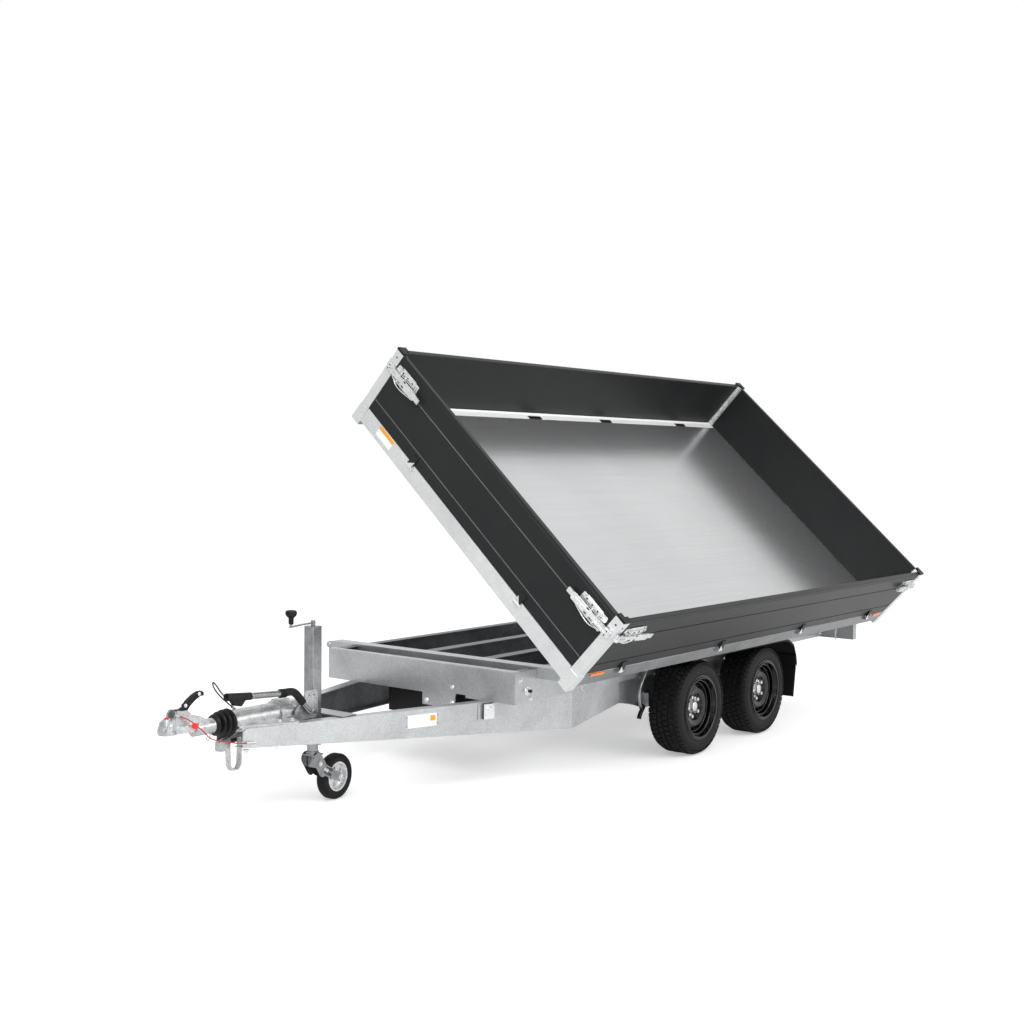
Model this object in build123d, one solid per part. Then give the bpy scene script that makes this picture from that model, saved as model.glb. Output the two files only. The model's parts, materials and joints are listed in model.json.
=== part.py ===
import os
from math import atan2, cos, degrees, hypot, pi, radians, sin, tan

from build123d import *

# Three-way dump trailer with its bed tipped to the left. Millimetres, +X towards
# the coupling, +Y left, +Z up. Everything is drawn with the ground at z 0 and the
# bed's middle at x 0, then moved so that the towing ball's centre is the origin.
ball_x = 3322.0
ball_z = 472.0
ball_radius = 25.0

# Gaps between pieces that seat on, run in or swing past each other
seat_gap = 0.3
running_gap = 0.5
swing_gap = 3.0

# Bed, drawn flat and then tipped about its left balls
bed_length = 3610.0
bed_width = 1880.0
bed_z = 754.0
tip_angle = 42.93
tip_x = bed_length / 2 - 257
tip_y = bed_width / 2 - 106
tip_z = 582.0
board_height = 352.0
board_thick = 30.0
groove_width = 6.0
groove_depth = 3.0
lip_height = 14.0
lip_depth = 2.0
post_size = 55.0
post_drop = 110.0
sleeve_proud = 3.0
cap_height = 12.0
rail_depth = 85.0
rail_flange = 50.0
rail_wall = 5.0
floor_thick = 10.0
cross_count = 9
cross_end = bed_length / 2 - 155
cross_depth = 50.0
cross_width = 50.0
long_depth = 45.0
long_width = 60.0
long_y = 300.0
long_reach = bed_length / 2 - rail_flange - seat_gap

# Board hinges: the pin lies outboard of the face and below the board
pin_out = 12.0
pin_down = 15.0
pin_radius = 5.0
knuckle_radius = 9.0
knuckle_length = 36.0
lug_thick = 6.0
end_hinge_shares = (-0.25, 0.25)
side_hinge_shares = (-0.405, -0.135, 0.135, 0.405)

# Over-centre latches near the ends of each board
latch_length = 190.0
latch_low = 236.0
latch_width = 52.0
latch_wall = 3.0
latch_rise = 20.0
lever_length = 250.0
lever_width = 26.0
hook_thick = 5.0
keeper_rise = 9.0
keeper_width = 24.0

# Marker lamps on the side rails
marker_length = 110.0
marker_height = 18.0
marker_from_end = 45.0

# Tipping balls and the sockets that hold them
tip_ball_radius = 20.0
tip_neck_radius = 13.0
cheek_thick = 8.0
cheek_drop = 38.0
socket_half = 34.0
lock_pin_radius = 6.0
lock_pin_reach = 24.0

# Chassis
rail_outer_y = 628.0
chassis_low = 445.0
chassis_top = 600.0
chassis_flange = 55.0
steel = 5.0
chassis_rear = -(bed_length / 2 - 115)
box_front = bed_length / 2 - 43
crossmember_x = (900.0, -1000.0)
box_lip = 40.0
tab_drop = 62.0
bar_width = 80.0
bar_low = 545.0
bar_top = 610.0
bar_end_room = 54.0
inner_y = 200.0
inner_width = 70.0
inner_low = 505.0
beam_front_x = 2985.0
beam_front_y = 88.0
beam_bend_x = 1270.0
beam_rear_x = 835.0
beam_front_low = 362.0
beam_bend_low = 257.0
beam_rear_low = 328.0
beam_flange = 55.0
beam_inset = 8.0
light_bar_depth = 50.0
light_bar_half = bed_width / 2 - 95
light_bar_low = 436.0
light_bar_top = 556.0
lamp_length = 180.0
lamp_height = 96.0
lamp_depth = 38.0

# Running gear
axle_x = (346.0, -416.0)
tyre_radius = 262.5
tyre_width = 195.0
rim_radius = 169.0
wheel_face_y = 848.0
arm_length = 150.0
arm_thick = 32.0
beam_z = 305.0
axle_tube = 80.0
backplate_radius = 110.0
stub_radius = 22.0
window_count = 10
guard_top = 550.0
guard_thick = 4.0
guard_outer_y = 862.0
flap_width = 224.0

# Tipping cylinder
cylinder_x = -35.0
trunnion_z = 500.0
trunnion_radius = 16.0
cup_z = 660.0
cup_radius = 44.0
cup_relief = 10.0
barrel_radius = 66.0
barrel_above = 100.0
barrel_below = 270.0
stage_radii = (54.0, 42.0, 30.0)
stage_length = 345.0
stage_step = 12.0
stage_floor = 6.0
rod_ball_radius = 24.0
ear_near = 78.0
ear_far = 105.0

# Jack
jack_x = 2488.0
jack_size = 60.0
jack_wall = 4.0
jack_top = 842.0
jack_low = 286.0
crank_reach = 138.0
leg_radius = 25.5
leg_length = 283.0
fork_z = 219.0
jockey_x = 2325.0
jockey_y = -18.0
jockey_radius = 108.0
jockey_width = 56.0
fork_gap = 64.0
fork_thick = 4.0

# Overrun coupling
shaft_z = 466.0
shaft_radius = 25.0
housing_radius = 52.0
housing_front = 2985.0
housing_rear = 2608.0
housing_room = 5.0
boot_length = 100.0
boot_radius = 62.0
boot_tip_radius = 47.0
boot_folds = 4
head_cup_radius = 33.0
head_cheek_y = 27.0
lever_y = 85.0
lever_thick = 26.0
lever_radius = 11.0
grip_radius = 17.0
grip_length = 137.0
grip_rise = 13.0

# Cords: diameters, the glands they come out of and their bends
red_cable = 5.0
black_cable = 6.0
gland_radius = 6.0
red_start, red_end = (3288, 38, 540), (2980, 101, 386)
red_bends = [(3254, 58, 525), (3220, 62, 492), (3178, 63, 462), (3156, 66, 432), (3112, 72, 412),
             (3060, 84, 402), (3014, 98, 388)]
black_start, black_end = (3088, 84.4, 604.5), (2968, -7, 531)
black_bends = [(3105, 83.3, 618.6), (3115, 66, 650), (3110, 34, 664), (3090, 14, 634), (3050, 6, 592),
               (3003, -2, 556)]


def block(x0, x1, y0, y1, z0, z1):
    middle = Pos((x0 + x1) / 2, (y0 + y1) / 2, (z0 + z1) / 2)
    return middle * Box(abs(x1 - x0), abs(y1 - y0), abs(z1 - z0))


def side_prism(points, y0, y1):
    """An outline in X and Z, thick from y0 to y1."""
    outline = Polyline(*[(x, y0, z) for x, z in points], close=True)
    return extrude(make_face(outline), amount=y1 - y0, dir=(0, 1, 0))


def front_prism(points, x0, x1):
    """An outline in Y and Z, thick from x0 to x1."""
    outline = Polyline(*[(x0, y, z) for y, z in points], close=True)
    return extrude(make_face(outline), amount=x1 - x0, dir=(1, 0, 0))


def plan_prism(points, z0, z1):
    """An outline in X and Y, thick from z0 to z1."""
    outline = Polyline(*[(x, y, z0) for x, y in points], close=True)
    return extrude(make_face(outline), amount=z1 - z0, dir=(0, 0, 1))


def bar(start, end, radius):
    """A round bar between two points."""
    way = Vector(*end) - Vector(*start)
    base = Plane(origin=start, z_dir=way)
    return base * Cylinder(radius, way.length, align=(Align.CENTER, Align.CENTER, Align.MIN))


def turned(points, axis_point, axis_way, x_way):
    """A solid of revolution from pairs of radius and place along the axis."""
    base = Plane(origin=axis_point, x_dir=x_way, z_dir=axis_way)
    outline = make_face(Polyline(*[(r, 0, t) for r, t in points], close=True))
    return base * revolve(outline, Axis.Z)


def gland(face, bend, length):
    """The stub that a cord comes out of, with its end at the cord's."""
    way = (Vector(*face) - Vector(*bend)).normalized()
    start = Vector(*face) + way * seat_gap
    return bar(tuple(start), tuple(start + way * length), gland_radius)


def cord(name, start, bends, end, diameter):
    """A round cord in straight runs with a tangent arc at each bend."""
    points = [Vector(*point) for point in (start, *bends, end)]
    radii = []
    for before, here, after in zip(points, points[1:], points[2:]):
        turn = radians((here - before).get_angle(after - here))
        radii.append(0.45 * min((here - before).length, (after - here).length) / tan(turn / 2))
    path = FilletPolyline(*points, radius=radii)
    shape = sweep(Plane(origin=path @ 0, z_dir=path % 0) * Circle(diameter / 2), path=path)
    print(name, "radii", [round(radius) for radius in radii], "length", round(path.length, 1),
          "volume", round(shape.volume), "section by length", round(pi * diameter ** 2 / 4 * path.length))
    keep(name, shape)


def fused(*shapes):
    whole = shapes[0]
    for shape in shapes[1:]:
        whole = whole + shape
    return whole


def mirrored(shape):
    return mirror(shape, about=Plane.XZ)


def tipped(shape):
    return Pos(0, tip_y, tip_z) * Rot(-tip_angle, 0, 0) * Pos(0, -tip_y, -tip_z) * shape


pieces = {}


def keep(name, shape):
    pieces[name] = Pos(-ball_x, 0, -ball_z) * shape


def keep_bed(name, shape):
    keep(name, tipped(shape))


# Bed sides: outer face's distance from the middle, turn about Z, length between
# the posts, places of the hinges along it, and the width of the rail's top flange
front_face = bed_length / 2
side_face = bed_width / 2
end_span = bed_width - 2 * (post_size + swing_gap)
side_span = bed_length - 2 * (post_size + swing_gap)
end_hinges = [share * bed_width for share in end_hinge_shares]
side_hinges = [share * bed_length for share in side_hinge_shares]
sides = (
    dict(name="front", out=front_face, turn=0, span=end_span, hinges=end_hinges, flange=board_thick),
    dict(name="left", out=side_face, turn=90, span=side_span, hinges=side_hinges, flange=rail_flange),
    dict(name="rear", out=front_face, turn=180, span=end_span, hinges=end_hinges, flange=board_thick),
    dict(name="right", out=side_face, turn=-90, span=side_span, hinges=side_hinges, flange=rail_flange),
)
pin_z = bed_z - pin_down
board_low = bed_z + swing_gap
board_top = bed_z + board_height
latch_z = bed_z + latch_low


def latch(end_y, way):
    """An over-centre latch whose hook reaches past the board's end at end_y."""
    z0, z1 = latch_z, latch_z + latch_width
    middle = (z0 + z1) / 2
    near = end_y - way * 12
    far = end_y - way * latch_length
    tip = end_y - way * lever_length
    shape = block(-1, latch_wall, near, far, z0, z1)
    cheek = [(latch_wall - 1, near), (latch_rise - 6, near), (latch_rise, near - way * 30),
             (latch_rise, far + way * 60), (latch_wall - 1, far)]
    for low in (z0, z1 - latch_wall):
        shape += plan_prism(cheek, low, low + latch_wall)
    lever = [(8, near - way * 20), (latch_rise - 2, near - way * 24), (latch_rise + 10, tip),
             (latch_rise + 4, tip), (8, near - way * 90)]
    shape += plan_prism(lever, middle - lever_width / 2, middle + lever_width / 2)
    pin_y = near - way * 45
    shape += bar((latch_rise - 10, pin_y, z0 - 3), (latch_rise - 10, pin_y, z1 + 3), 5.5)
    hook_end = end_y + way * (swing_gap + post_size / 2 + 14)
    hook_low = keeper_rise + 1
    shape += block(hook_low, hook_low + hook_thick, pin_y, hook_end, middle - 17, middle + 17)
    return shape


def board_shape(span, hinges):
    inner = -board_thick
    outline = [(inner, board_low), (0, board_low)]
    for share in (0.18, 0.69):
        z = board_low + share * (board_top - board_low)
        outline += [(0, z - groove_width / 2), (-groove_depth, z - groove_width / 2)]
        outline += [(-groove_depth, z + groove_width / 2), (0, z + groove_width / 2)]
    lip = board_top - lip_height
    outline += [(0, lip - 4), (-lip_depth, lip), (-lip_depth, board_top - 3), (-lip_depth - 3, board_top)]
    outline += [(inner + 3, board_top), (inner, board_top - 3)]
    shape = side_prism(outline, -span / 2, span / 2)
    for y in hinges:
        half = knuckle_length / 2
        shape += bar((pin_out, y - half, pin_z), (pin_out, y + half, pin_z), knuckle_radius)
        strap = [(-1, board_low + 1), (3, board_low + 1), (pin_out - knuckle_radius + 1, pin_z),
                 (pin_out + knuckle_radius - 1, pin_z), (pin_out, board_low + 18),
                 (4, board_low + 42), (-1, board_low + 42)]
        shape += side_prism(strap, y - half, y + half)
        shape -= bar((pin_out, y - 50, pin_z), (pin_out, y + 50, pin_z), pin_radius + running_gap)
    for way in (-1, 1):
        shape += latch(way * span / 2, way)
    return shape


def hinge_lugs(hinges):
    lugs = []
    for y in hinges:
        near = knuckle_length / 2 + 1
        for way in (-1, 1):
            lug = [(-2, pin_z - 16), (2, pin_z - 16), (pin_out + knuckle_radius - 2, pin_z - 5),
                   (pin_out + knuckle_radius - 2, pin_z + 6), (pin_out + 2, pin_z + 9), (-2, pin_z + 9)]
            ends = sorted((y + way * near, y + way * (near + lug_thick)))
            lugs.append(side_prism(lug, ends[0], ends[1]))
        half = near + lug_thick + 3
        lugs.append(bar((pin_out, y - half, pin_z), (pin_out, y + half, pin_z), pin_radius))
    return lugs


for side in sides:
    place = Rot(0, 0, side["turn"]) * Pos(side["out"], 0, 0)
    keep_bed("board_" + side["name"], place * board_shape(side["span"], side["hinges"]))
    low = bed_z - rail_depth
    section = [(0, low), (0, bed_z), (-side["flange"], bed_z), (-side["flange"], bed_z - rail_wall),
               (-rail_wall, bed_z - rail_wall), (-rail_wall, low + rail_wall),
               (-rail_flange, low + rail_wall), (-rail_flange, low)]
    half = side["span"] / 2
    rail = fused(side_prism(section, -half, half), *hinge_lugs(side["hinges"]))
    if side["flange"] == rail_flange:
        for way in (-1, 1):
            start = way * (half - marker_from_end)
            end = way * (half - marker_from_end - marker_length)
            rail += block(-1, 6, start, end, bed_z - 3 - marker_height, bed_z - 3)
    keep_bed("bed_rail_" + side["name"], place * rail)

# Corner posts: an angle as thick as the boards, in a sleeve below the floor,
# with a keeper for each latch's hook on both outer faces
sleeve_in = post_size + swing_gap - seat_gap
sleeve_top = bed_z - floor_thick - seat_gap
post = plan_prism([(0, 0), (0, -post_size), (-board_thick, -post_size), (-board_thick, -board_thick),
                   (-post_size, -board_thick), (-post_size, 0)], sleeve_top - rail_wall, board_top)
post += block(-sleeve_in, sleeve_proud, -sleeve_in, sleeve_proud, bed_z - post_drop, sleeve_top)
post -= block(-sleeve_in + rail_wall, -rail_wall, -sleeve_in + rail_wall, -rail_wall,
              bed_z - post_drop - 1, sleeve_top - rail_wall)
keeper_z = latch_z + (latch_width - keeper_width) / 2
keeper_low = post_size / 2 - 12
post += block(-1, keeper_rise, -keeper_low, -keeper_low - 24, keeper_z, keeper_z + keeper_width)
post += block(-keeper_low, -keeper_low - 24, -1, keeper_rise, keeper_z, keeper_z + keeper_width)
cap = block(-post_size, 2, -post_size, 2, board_top + seat_gap, board_top + cap_height)
cap -= block(-100, -board_thick, -100, -board_thick, board_top - 1, board_top + 100)
posts = []
caps = []
for x_way, y_way in ((1, 1), (-1, 1), (-1, -1), (1, -1)):
    for source, target in ((post, posts), (cap, caps)):
        corner = source
        if x_way < 0:
            corner = mirror(corner, about=Plane.YZ)
        if y_way < 0:
            corner = mirror(corner, about=Plane.XZ)
        target.append(Pos(x_way * front_face, y_way * side_face, 0) * corner)
keep_bed("corner_posts", Compound(children=posts))
keep_bed("post_caps", Compound(children=caps))

# Floor and the beams under it
floor_x = front_face - board_thick - seat_gap
floor_y = side_face - rail_flange - seat_gap
keep_bed("bed_floor", block(-floor_x, floor_x, -floor_y, floor_y, bed_z - floor_thick, bed_z))
cross_top = bed_z - floor_thick - seat_gap
cross_low = cross_top - cross_depth
cross_y = side_face - rail_wall - seat_gap
beams = []
for number in range(cross_count):
    x = -cross_end + number * 2 * cross_end / (cross_count - 1)
    beams.append(block(x - cross_width / 2, x + cross_width / 2, -cross_y, cross_y, cross_low, cross_top))
for y in (-long_y, long_y):
    y0, y1 = y - long_width / 2, y + long_width / 2
    beams.append(block(-long_reach, long_reach, y0, y1, cross_low - long_depth, cross_low + 1))
keep_bed("bed_beams", fused(*beams))

# Tipping sockets: two cheeks astride each ball under a bridge, and on the left
# a lock pin that a pull ring hangs from
sockets = []
reach = tip_ball_radius + running_gap
for x in (-tip_x, tip_x):
    for y in (-tip_y, tip_y):
        outer = reach + cheek_thick
        saddle = tip_z + tip_neck_radius + swing_gap
        bridge = front_prism([(y - socket_half, saddle), (y + socket_half, saddle),
                              (y + socket_half + 18, cross_top), (y - socket_half - 18, cross_top)],
                             x - outer, x + outer)
        bridge -= bar((x - reach, y, tip_z), (x + reach, y, tip_z), reach)
        cheek = [(y - socket_half, saddle + 1), (y + socket_half, saddle + 1),
                 (y + socket_half, tip_z - 12), (y + 18, tip_z - cheek_drop),
                 (y - 18, tip_z - cheek_drop), (y - socket_half, tip_z - 12)]
        for way in (-1, 1):
            x0, x1 = sorted((x + way * reach, x + way * outer))
            bridge += front_prism(cheek, x0, x1)
        if y > 0:
            pin_low = tip_z - tip_ball_radius - lock_pin_radius - 2
            front = x + outer + lock_pin_reach
            bridge += bar((x - outer - 8, y, pin_low), (front, y, pin_low), lock_pin_radius)
        sockets.append(bridge)
keep_bed("tip_sockets", Compound(children=sockets))

# Cup for the cylinder's ball on a plate between the long beams
cup_low = cup_z - 10
plate_y = long_y - long_width / 2
cup = block(cylinder_x - 60, cylinder_x + 60, -plate_y, plate_y, cup_z + rod_ball_radius + 4, cross_low)
cup += Pos(cylinder_x, 0, (cup_low + cross_low) / 2) * Cylinder(cup_radius, cross_low - cup_low)
cup -= Pos(cylinder_x, 0, cup_z) * Sphere(rod_ball_radius + running_gap)
cup -= Pos(cylinder_x, 0, cup_z - 50 + cup_relief / 2) * Cylinder(rod_ball_radius + 8, 100 + cup_relief)
keep_bed("cylinder_cup", cup)

# Chassis rails, C sections that open inwards
rail_low_y = rail_outer_y - chassis_flange
rail_front = box_front - steel - seat_gap
rail = block(chassis_rear, rail_front, rail_low_y, rail_outer_y, chassis_low, chassis_top)
rail -= block(chassis_rear - 1, rail_front + 1, rail_low_y - 1, rail_outer_y - steel,
              chassis_low + steel, chassis_top - steel)
keep("chassis_rail_left", rail)
keep("chassis_rail_right", mirrored(rail))

# Front plate, folded back at its top and foot, with a tab below and a notch beside it
front_plate = side_prism([(box_front, chassis_low), (box_front, chassis_top), (box_front - 4, chassis_top + 4),
                          (box_front - box_lip, chassis_top + 4), (box_front - box_lip, chassis_top + seat_gap),
                          (box_front - steel, chassis_top + seat_gap), (box_front - steel, chassis_low)],
                         -rail_outer_y, rail_outer_y)
front_plate += block(box_front - steel, box_front, 40, 255, chassis_low - tab_drop, chassis_low + 1)
front_plate -= block(box_front - 10, box_front + 10, 258, 322, chassis_low - 1, chassis_low + 14)
keep("front_plate", front_plate)

# What lies inside the rails reaches their webs
web_in = rail_outer_y - steel - seat_gap
flange_in = chassis_top - steel - seat_gap
floor_in = chassis_low + steel + seat_gap

# Tipping bars, one at each end, with a ball at each end of each
for name, x in (("front_tip_bar", tip_x), ("rear_tip_bar", -tip_x)):
    x0, x1 = x - bar_width / 2, x + bar_width / 2
    end = tip_y - bar_end_room
    tube = block(x0, x1, -web_in, web_in, bar_low, flange_in)
    tube += block(x0, x1, -rail_low_y + seat_gap, rail_low_y - seat_gap, flange_in - 1, bar_top)
    tube += block(x0, x1, -end, end, chassis_top + seat_gap, bar_top)
    for way in (-1, 1):
        tube += block(x0, x1, way * (rail_outer_y + seat_gap), way * end, tip_z - 28, bar_top)
        tube += bar((x, way * (end - 5), tip_z), (x, way * tip_y, tip_z), tip_neck_radius)
        tube += Pos(x, way * tip_y, tip_z) * Sphere(tip_ball_radius)
    keep(name, tube)

# Crossmembers and the two inner beams on them
frame = []
for x in crossmember_x:
    frame.append(block(x - 25, x + 25, -web_in, web_in, floor_in, inner_low))
inner_end = tip_x - bar_width / 2 - seat_gap
for y in (-inner_y, inner_y):
    y0, y1 = y - inner_width / 2, y + inner_width / 2
    frame.append(block(-inner_end, inner_end, y0, y1, inner_low - 1, flange_in))
keep("chassis_crossmembers", fused(*frame))

# Cradle: two crossmembers that carry the ears of the cylinder's trunnion
cradle = []
for way in (-1, 1):
    x0, x1 = sorted((cylinder_x + way * ear_far, cylinder_x + way * (ear_far + 50)))
    member = block(x0, x1, -web_in, web_in, floor_in, inner_low - 1 - seat_gap)
    ear = front_prism([(-45, trunnion_z - 40), (45, trunnion_z - 40), (45, trunnion_z + 10),
                       (22, trunnion_z + 34), (-22, trunnion_z + 34), (-45, trunnion_z + 10)],
                      *sorted((cylinder_x + way * ear_near, cylinder_x + way * (ear_far + 1))))
    hole = trunnion_radius + running_gap
    ear -= bar((cylinder_x + way * 60, 0, trunnion_z), (cylinder_x + way * (ear_far - 4), 0, trunnion_z), hole)
    cradle.append(member + ear)
keep("cylinder_cradle", Compound(children=cradle))

# Box for the pump and battery, hung under the front tipping bar
pump = block(tip_x - 124, tip_x + 158, -250, 250, 312, inner_low - 1 - seat_gap)
pump = fillet(pump.edges().filter_by(Axis.Z), 16)
keep("pump_box", pump)

# Drawbar beams: folded channels that taper as they run in to the coupling
web_y = rail_outer_y - beam_inset
slope = (web_y - beam_front_y) / (beam_front_x - beam_bend_x)
beam_out = [(beam_front_x, beam_front_y), (beam_bend_x, web_y), (beam_rear_x, web_y)]
beam_in = [(x, y - beam_flange) for x, y in reversed(beam_out)]
pocket_out = [(beam_front_x + 9, beam_front_y - steel - 3), (beam_bend_x, web_y - steel),
              (beam_rear_x - 9, web_y - steel)]
pocket_in = [(x, y - beam_flange) for x, y in reversed(pocket_out)]
side_view = [(beam_front_x, beam_front_low), (beam_front_x, chassis_low - 12),
             (beam_front_x - 14, chassis_low), (beam_rear_x, chassis_low),
             (beam_rear_x, beam_rear_low), (beam_bend_x, beam_bend_low)]
side_pocket = [(beam_front_x + 9, beam_front_low + steel), (beam_front_x + 9, chassis_low - steel),
               (beam_rear_x - 9, chassis_low - steel), (beam_rear_x - 9, beam_rear_low + steel),
               (beam_bend_x, beam_bend_low + steel)]
beam = plan_prism(beam_out + beam_in, 200, 500) & side_prism(side_view, -100, 700)
beam -= plan_prism(pocket_out + pocket_in, 200, 500) & side_prism(side_pocket, -100, 700)
beam -= bar((housing_front - 80, 0, shaft_z), (beam_front_x + 1, 0, shaft_z), housing_radius + housing_room)
bracket_x = 1770.0
bracket_y = web_y - (bracket_x - beam_bend_x) * slope
clip = plan_prism([(-55, -1), (-55, 4), (-30, 4), (-30, 20), (30, 20), (30, 4), (55, 4), (55, -1),
                   (25, -1), (25, 15), (-25, 15), (-25, -1)],
                  chassis_low - 82, chassis_low - 8)
beam += Pos(bracket_x, bracket_y, 0) * Rot(0, 0, -degrees(atan2(slope, 1))) * clip
keep("drawbar_beam_right", mirrored(beam))
keep("drawbar_beam_left", beam + gland(red_end, red_bends[-1], 50))

# Light bar: a channel across the rails' rear ends, with its lamps
light_x = chassis_rear - seat_gap
light_rear = light_x - light_bar_depth
light = block(light_rear, light_x, -light_bar_half, light_bar_half, light_bar_low, light_bar_top)
light -= block(light_rear - 1, light_x - steel, -light_bar_half + steel, light_bar_half - steel,
               light_bar_low + steel, light_bar_top - steel)
light -= block(light_x - 10, light_x + 1, 690, 712, 494, 516)
keep("light_bar", light)
lamps = []
for way in (-1, 1):
    y = way * (light_bar_half - 20 - lamp_length / 2)
    middle = (light_bar_low + light_bar_top) / 2
    lamp = block(light_rear - lamp_depth + 20, light_x - steel - seat_gap, y - lamp_length / 2,
                 y + lamp_length / 2, middle - lamp_height / 2, middle + lamp_height / 2)
    lamps.append(fillet(lamp.edges().filter_by(Axis.X), 12))
keep("rear_lamps", Compound(children=lamps))

# Axles: a square tube, hanger plates, trailing arms, backplates and stub axles
wheel_middle_y = wheel_face_y - tyre_width / 2
for name, x, ahead in (("axle_front", axle_x[0], beam_rear_x - 6), ("axle_rear", axle_x[1], -160)):
    tube_x = x + arm_length
    half = axle_tube / 2
    axle = block(tube_x - half, tube_x + half, -590, 590, beam_z - half, beam_z + half)
    hanger = [(ahead, chassis_low), (ahead, beam_z + 17), (tube_x + 190, beam_z - 3),
              (tube_x + half + 4, beam_z - half - 8), (tube_x - half - 4, beam_z - half - 8),
              (tube_x - 100, beam_z + 60), (tube_x - 115, chassis_low)]
    if ahead < tube_x + 190:
        hanger = [hanger[0], (ahead, beam_z + 60)] + hanger[3:]
    for way in (-1, 1):
        axle += side_prism(hanger, *sorted((way * (rail_low_y + 8), way * (rail_low_y + 14))))
        axle += block(tube_x - 95, tube_x + 95, way * rail_low_y, way * (rail_low_y + 20),
                      chassis_low - 6, chassis_low - seat_gap)
        arm = [(tube_x + 42, beam_z - 35), (tube_x + 42, beam_z + 35), (x - 10, tyre_radius + 38),
               (x - 38, tyre_radius), (x - 10, tyre_radius - 38)]
        axle += side_prism(arm, *sorted((way * 590, way * (590 + arm_thick))))
        axle += bar((x, way * 600, tyre_radius), (x, way * 700, tyre_radius), stub_radius)
        axle += bar((x, way * 600, tyre_radius), (x, way * 646, tyre_radius), backplate_radius)
    keep(name, axle)

# Wheels
half = tyre_width / 2
seat = rim_radius
tyre_outline = [(seat, -half + 12), (seat + 26, -half + 1), (208, -half), (246, -half + 14),
                (tyre_radius, -half + 40), (tyre_radius, half - 40), (246, half - 14), (208, half),
                (seat + 26, half - 1), (seat, half - 12)]
rim_outline = [(seat, -half + 12), (seat, half - 12), (seat + 10, half - 3), (seat - 6, half - 3),
               (seat - 14, half - 24), (seat - 18, half - 56), (102, half - 34), (76, half - 40),
               (58, half - 64), (30, half - 64), (30, half - 42), (0, half - 42), (0, half - 78),
               (24, -half + 44), (24, half - 78), (60, half - 72), (100, half - 42),
               (seat - 22, half - 64), (seat - 20, -half + 14), (seat - 4, -half + 6), (seat + 10, -half + 6)]
rim_outline = [point for point in rim_outline if point != (24, -half + 44)]
for axle_name, x in (("front", axle_x[0]), ("rear", axle_x[1])):
    for side_name, way in (("left", 1), ("right", -1)):
        middle = (x, way * wheel_middle_y, tyre_radius)
        where = "_" + axle_name + "_" + side_name
        keep("tyre" + where, turned(tyre_outline, middle, (0, way, 0), (1, 0, 0)))
        rim = turned(rim_outline, middle, (0, way, 0), (1, 0, 0))
        rim += bar((x, way * (700 + seat_gap), tyre_radius), (x, way * (wheel_middle_y + half - 70), tyre_radius), 24)
        for number in range(window_count):
            turn = Pos(*middle) * Rot(0, 360 * number / window_count, 0)
            rim -= turn * Pos(124, 0, 0) * Box(16, 150, 30)
        keep("rim" + where, rim)

# Mudguards over each pair of wheels, with a flap hung behind each
guard = [(668, 330), (656, 440), (610, 515), (530, guard_top), (-590, guard_top), (-700, 535),
         (-765, 500), (-800, 430), (-812, 372)]
under = [(664, 330), (652, 439), (607, 512), (529, guard_top - guard_thick),
         (-589, guard_top - guard_thick), (-698, 531), (-762, 498), (-796, 429), (-808, 372)]
shell = side_prism(guard + list(reversed(under)), rail_outer_y + seat_gap, guard_outer_y)
shell += side_prism([(-812, 372), (-800, 430), (-765, 500), (-700, 535), (-590, guard_top), (-560, guard_top),
                     (-560, guard_top - 16), (-688, 518), (-748, 488), (-782, 425), (-794, 372)],
                    guard_outer_y - guard_thick, guard_outer_y)
keep("mudguards", Compound(children=[shell, mirrored(shell)]))
flap = [(-795.7, 429), (-807.7, 372), (-778, 176), (-772, 176), (-801, 372), (-789, 429)]
flaps = []
for way in (-1, 1):
    y = way * (rail_outer_y + guard_outer_y) / 2 - flap_width / 2
    flaps.append(side_prism(flap, y, y + flap_width))
keep("mud_flaps", Compound(children=flaps))

# Tipping cylinder, leaning as the bed's cup has carried it
angle = radians(tip_angle)
cup_point = (cup_z - tip_z) * sin(angle) - tip_y * cos(angle) + tip_y
cup_height = (cup_z - tip_z) * cos(angle) + tip_y * sin(angle) + tip_z
lean = atan2(cup_point, cup_height - trunnion_z)
stroke = hypot(cup_point, cup_height - trunnion_z) - (cup_z - trunnion_z)
lean_place = Pos(cylinder_x, 0, trunnion_z) * Rot(-degrees(lean), 0, 0)
print("cylinder lean", round(degrees(lean), 3), "stroke", round(stroke, 2))


def sleeve(radius, low, high, bore):
    shape = Pos(0, 0, (low + high) / 2) * Cylinder(radius, high - low)
    if bore:
        start = low + stage_floor
        shape -= Pos(0, 0, (start + high + 1) / 2) * Cylinder(bore, high + 1 - start)
    return shape


barrel = sleeve(barrel_radius, -barrel_below, barrel_above, stage_radii[0] + seat_gap)
barrel += sleeve(barrel_radius + 5, barrel_above - 24, barrel_above, 0) - sleeve(barrel_radius - 1, -barrel_below, 200, 0)
for way in (-1, 1):
    barrel += bar((way * (barrel_radius - 4), 0, 0), (way * (ear_far - 6), 0, 0), trunnion_radius)
keep("cylinder_barrel", lean_place * barrel)
for number, name in enumerate(("cylinder_stage_1", "cylinder_stage_2", "cylinder_rod")):
    rise = stroke * (number + 1) / 3
    top = barrel_above + stage_step * (number + 1) + rise
    bore = stage_radii[number + 1] + seat_gap if number < 2 else 0
    stage = sleeve(stage_radii[number], top - stage_length, top, bore)
    if number == 2:
        ball_rise = stroke + cup_z - trunnion_z
        stage += Pos(0, 0, ball_rise) * Sphere(rod_ball_radius)
        stage += bar((0, 0, top - 2), (0, 0, ball_rise), 14)
    keep(name, lean_place * stage)

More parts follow.
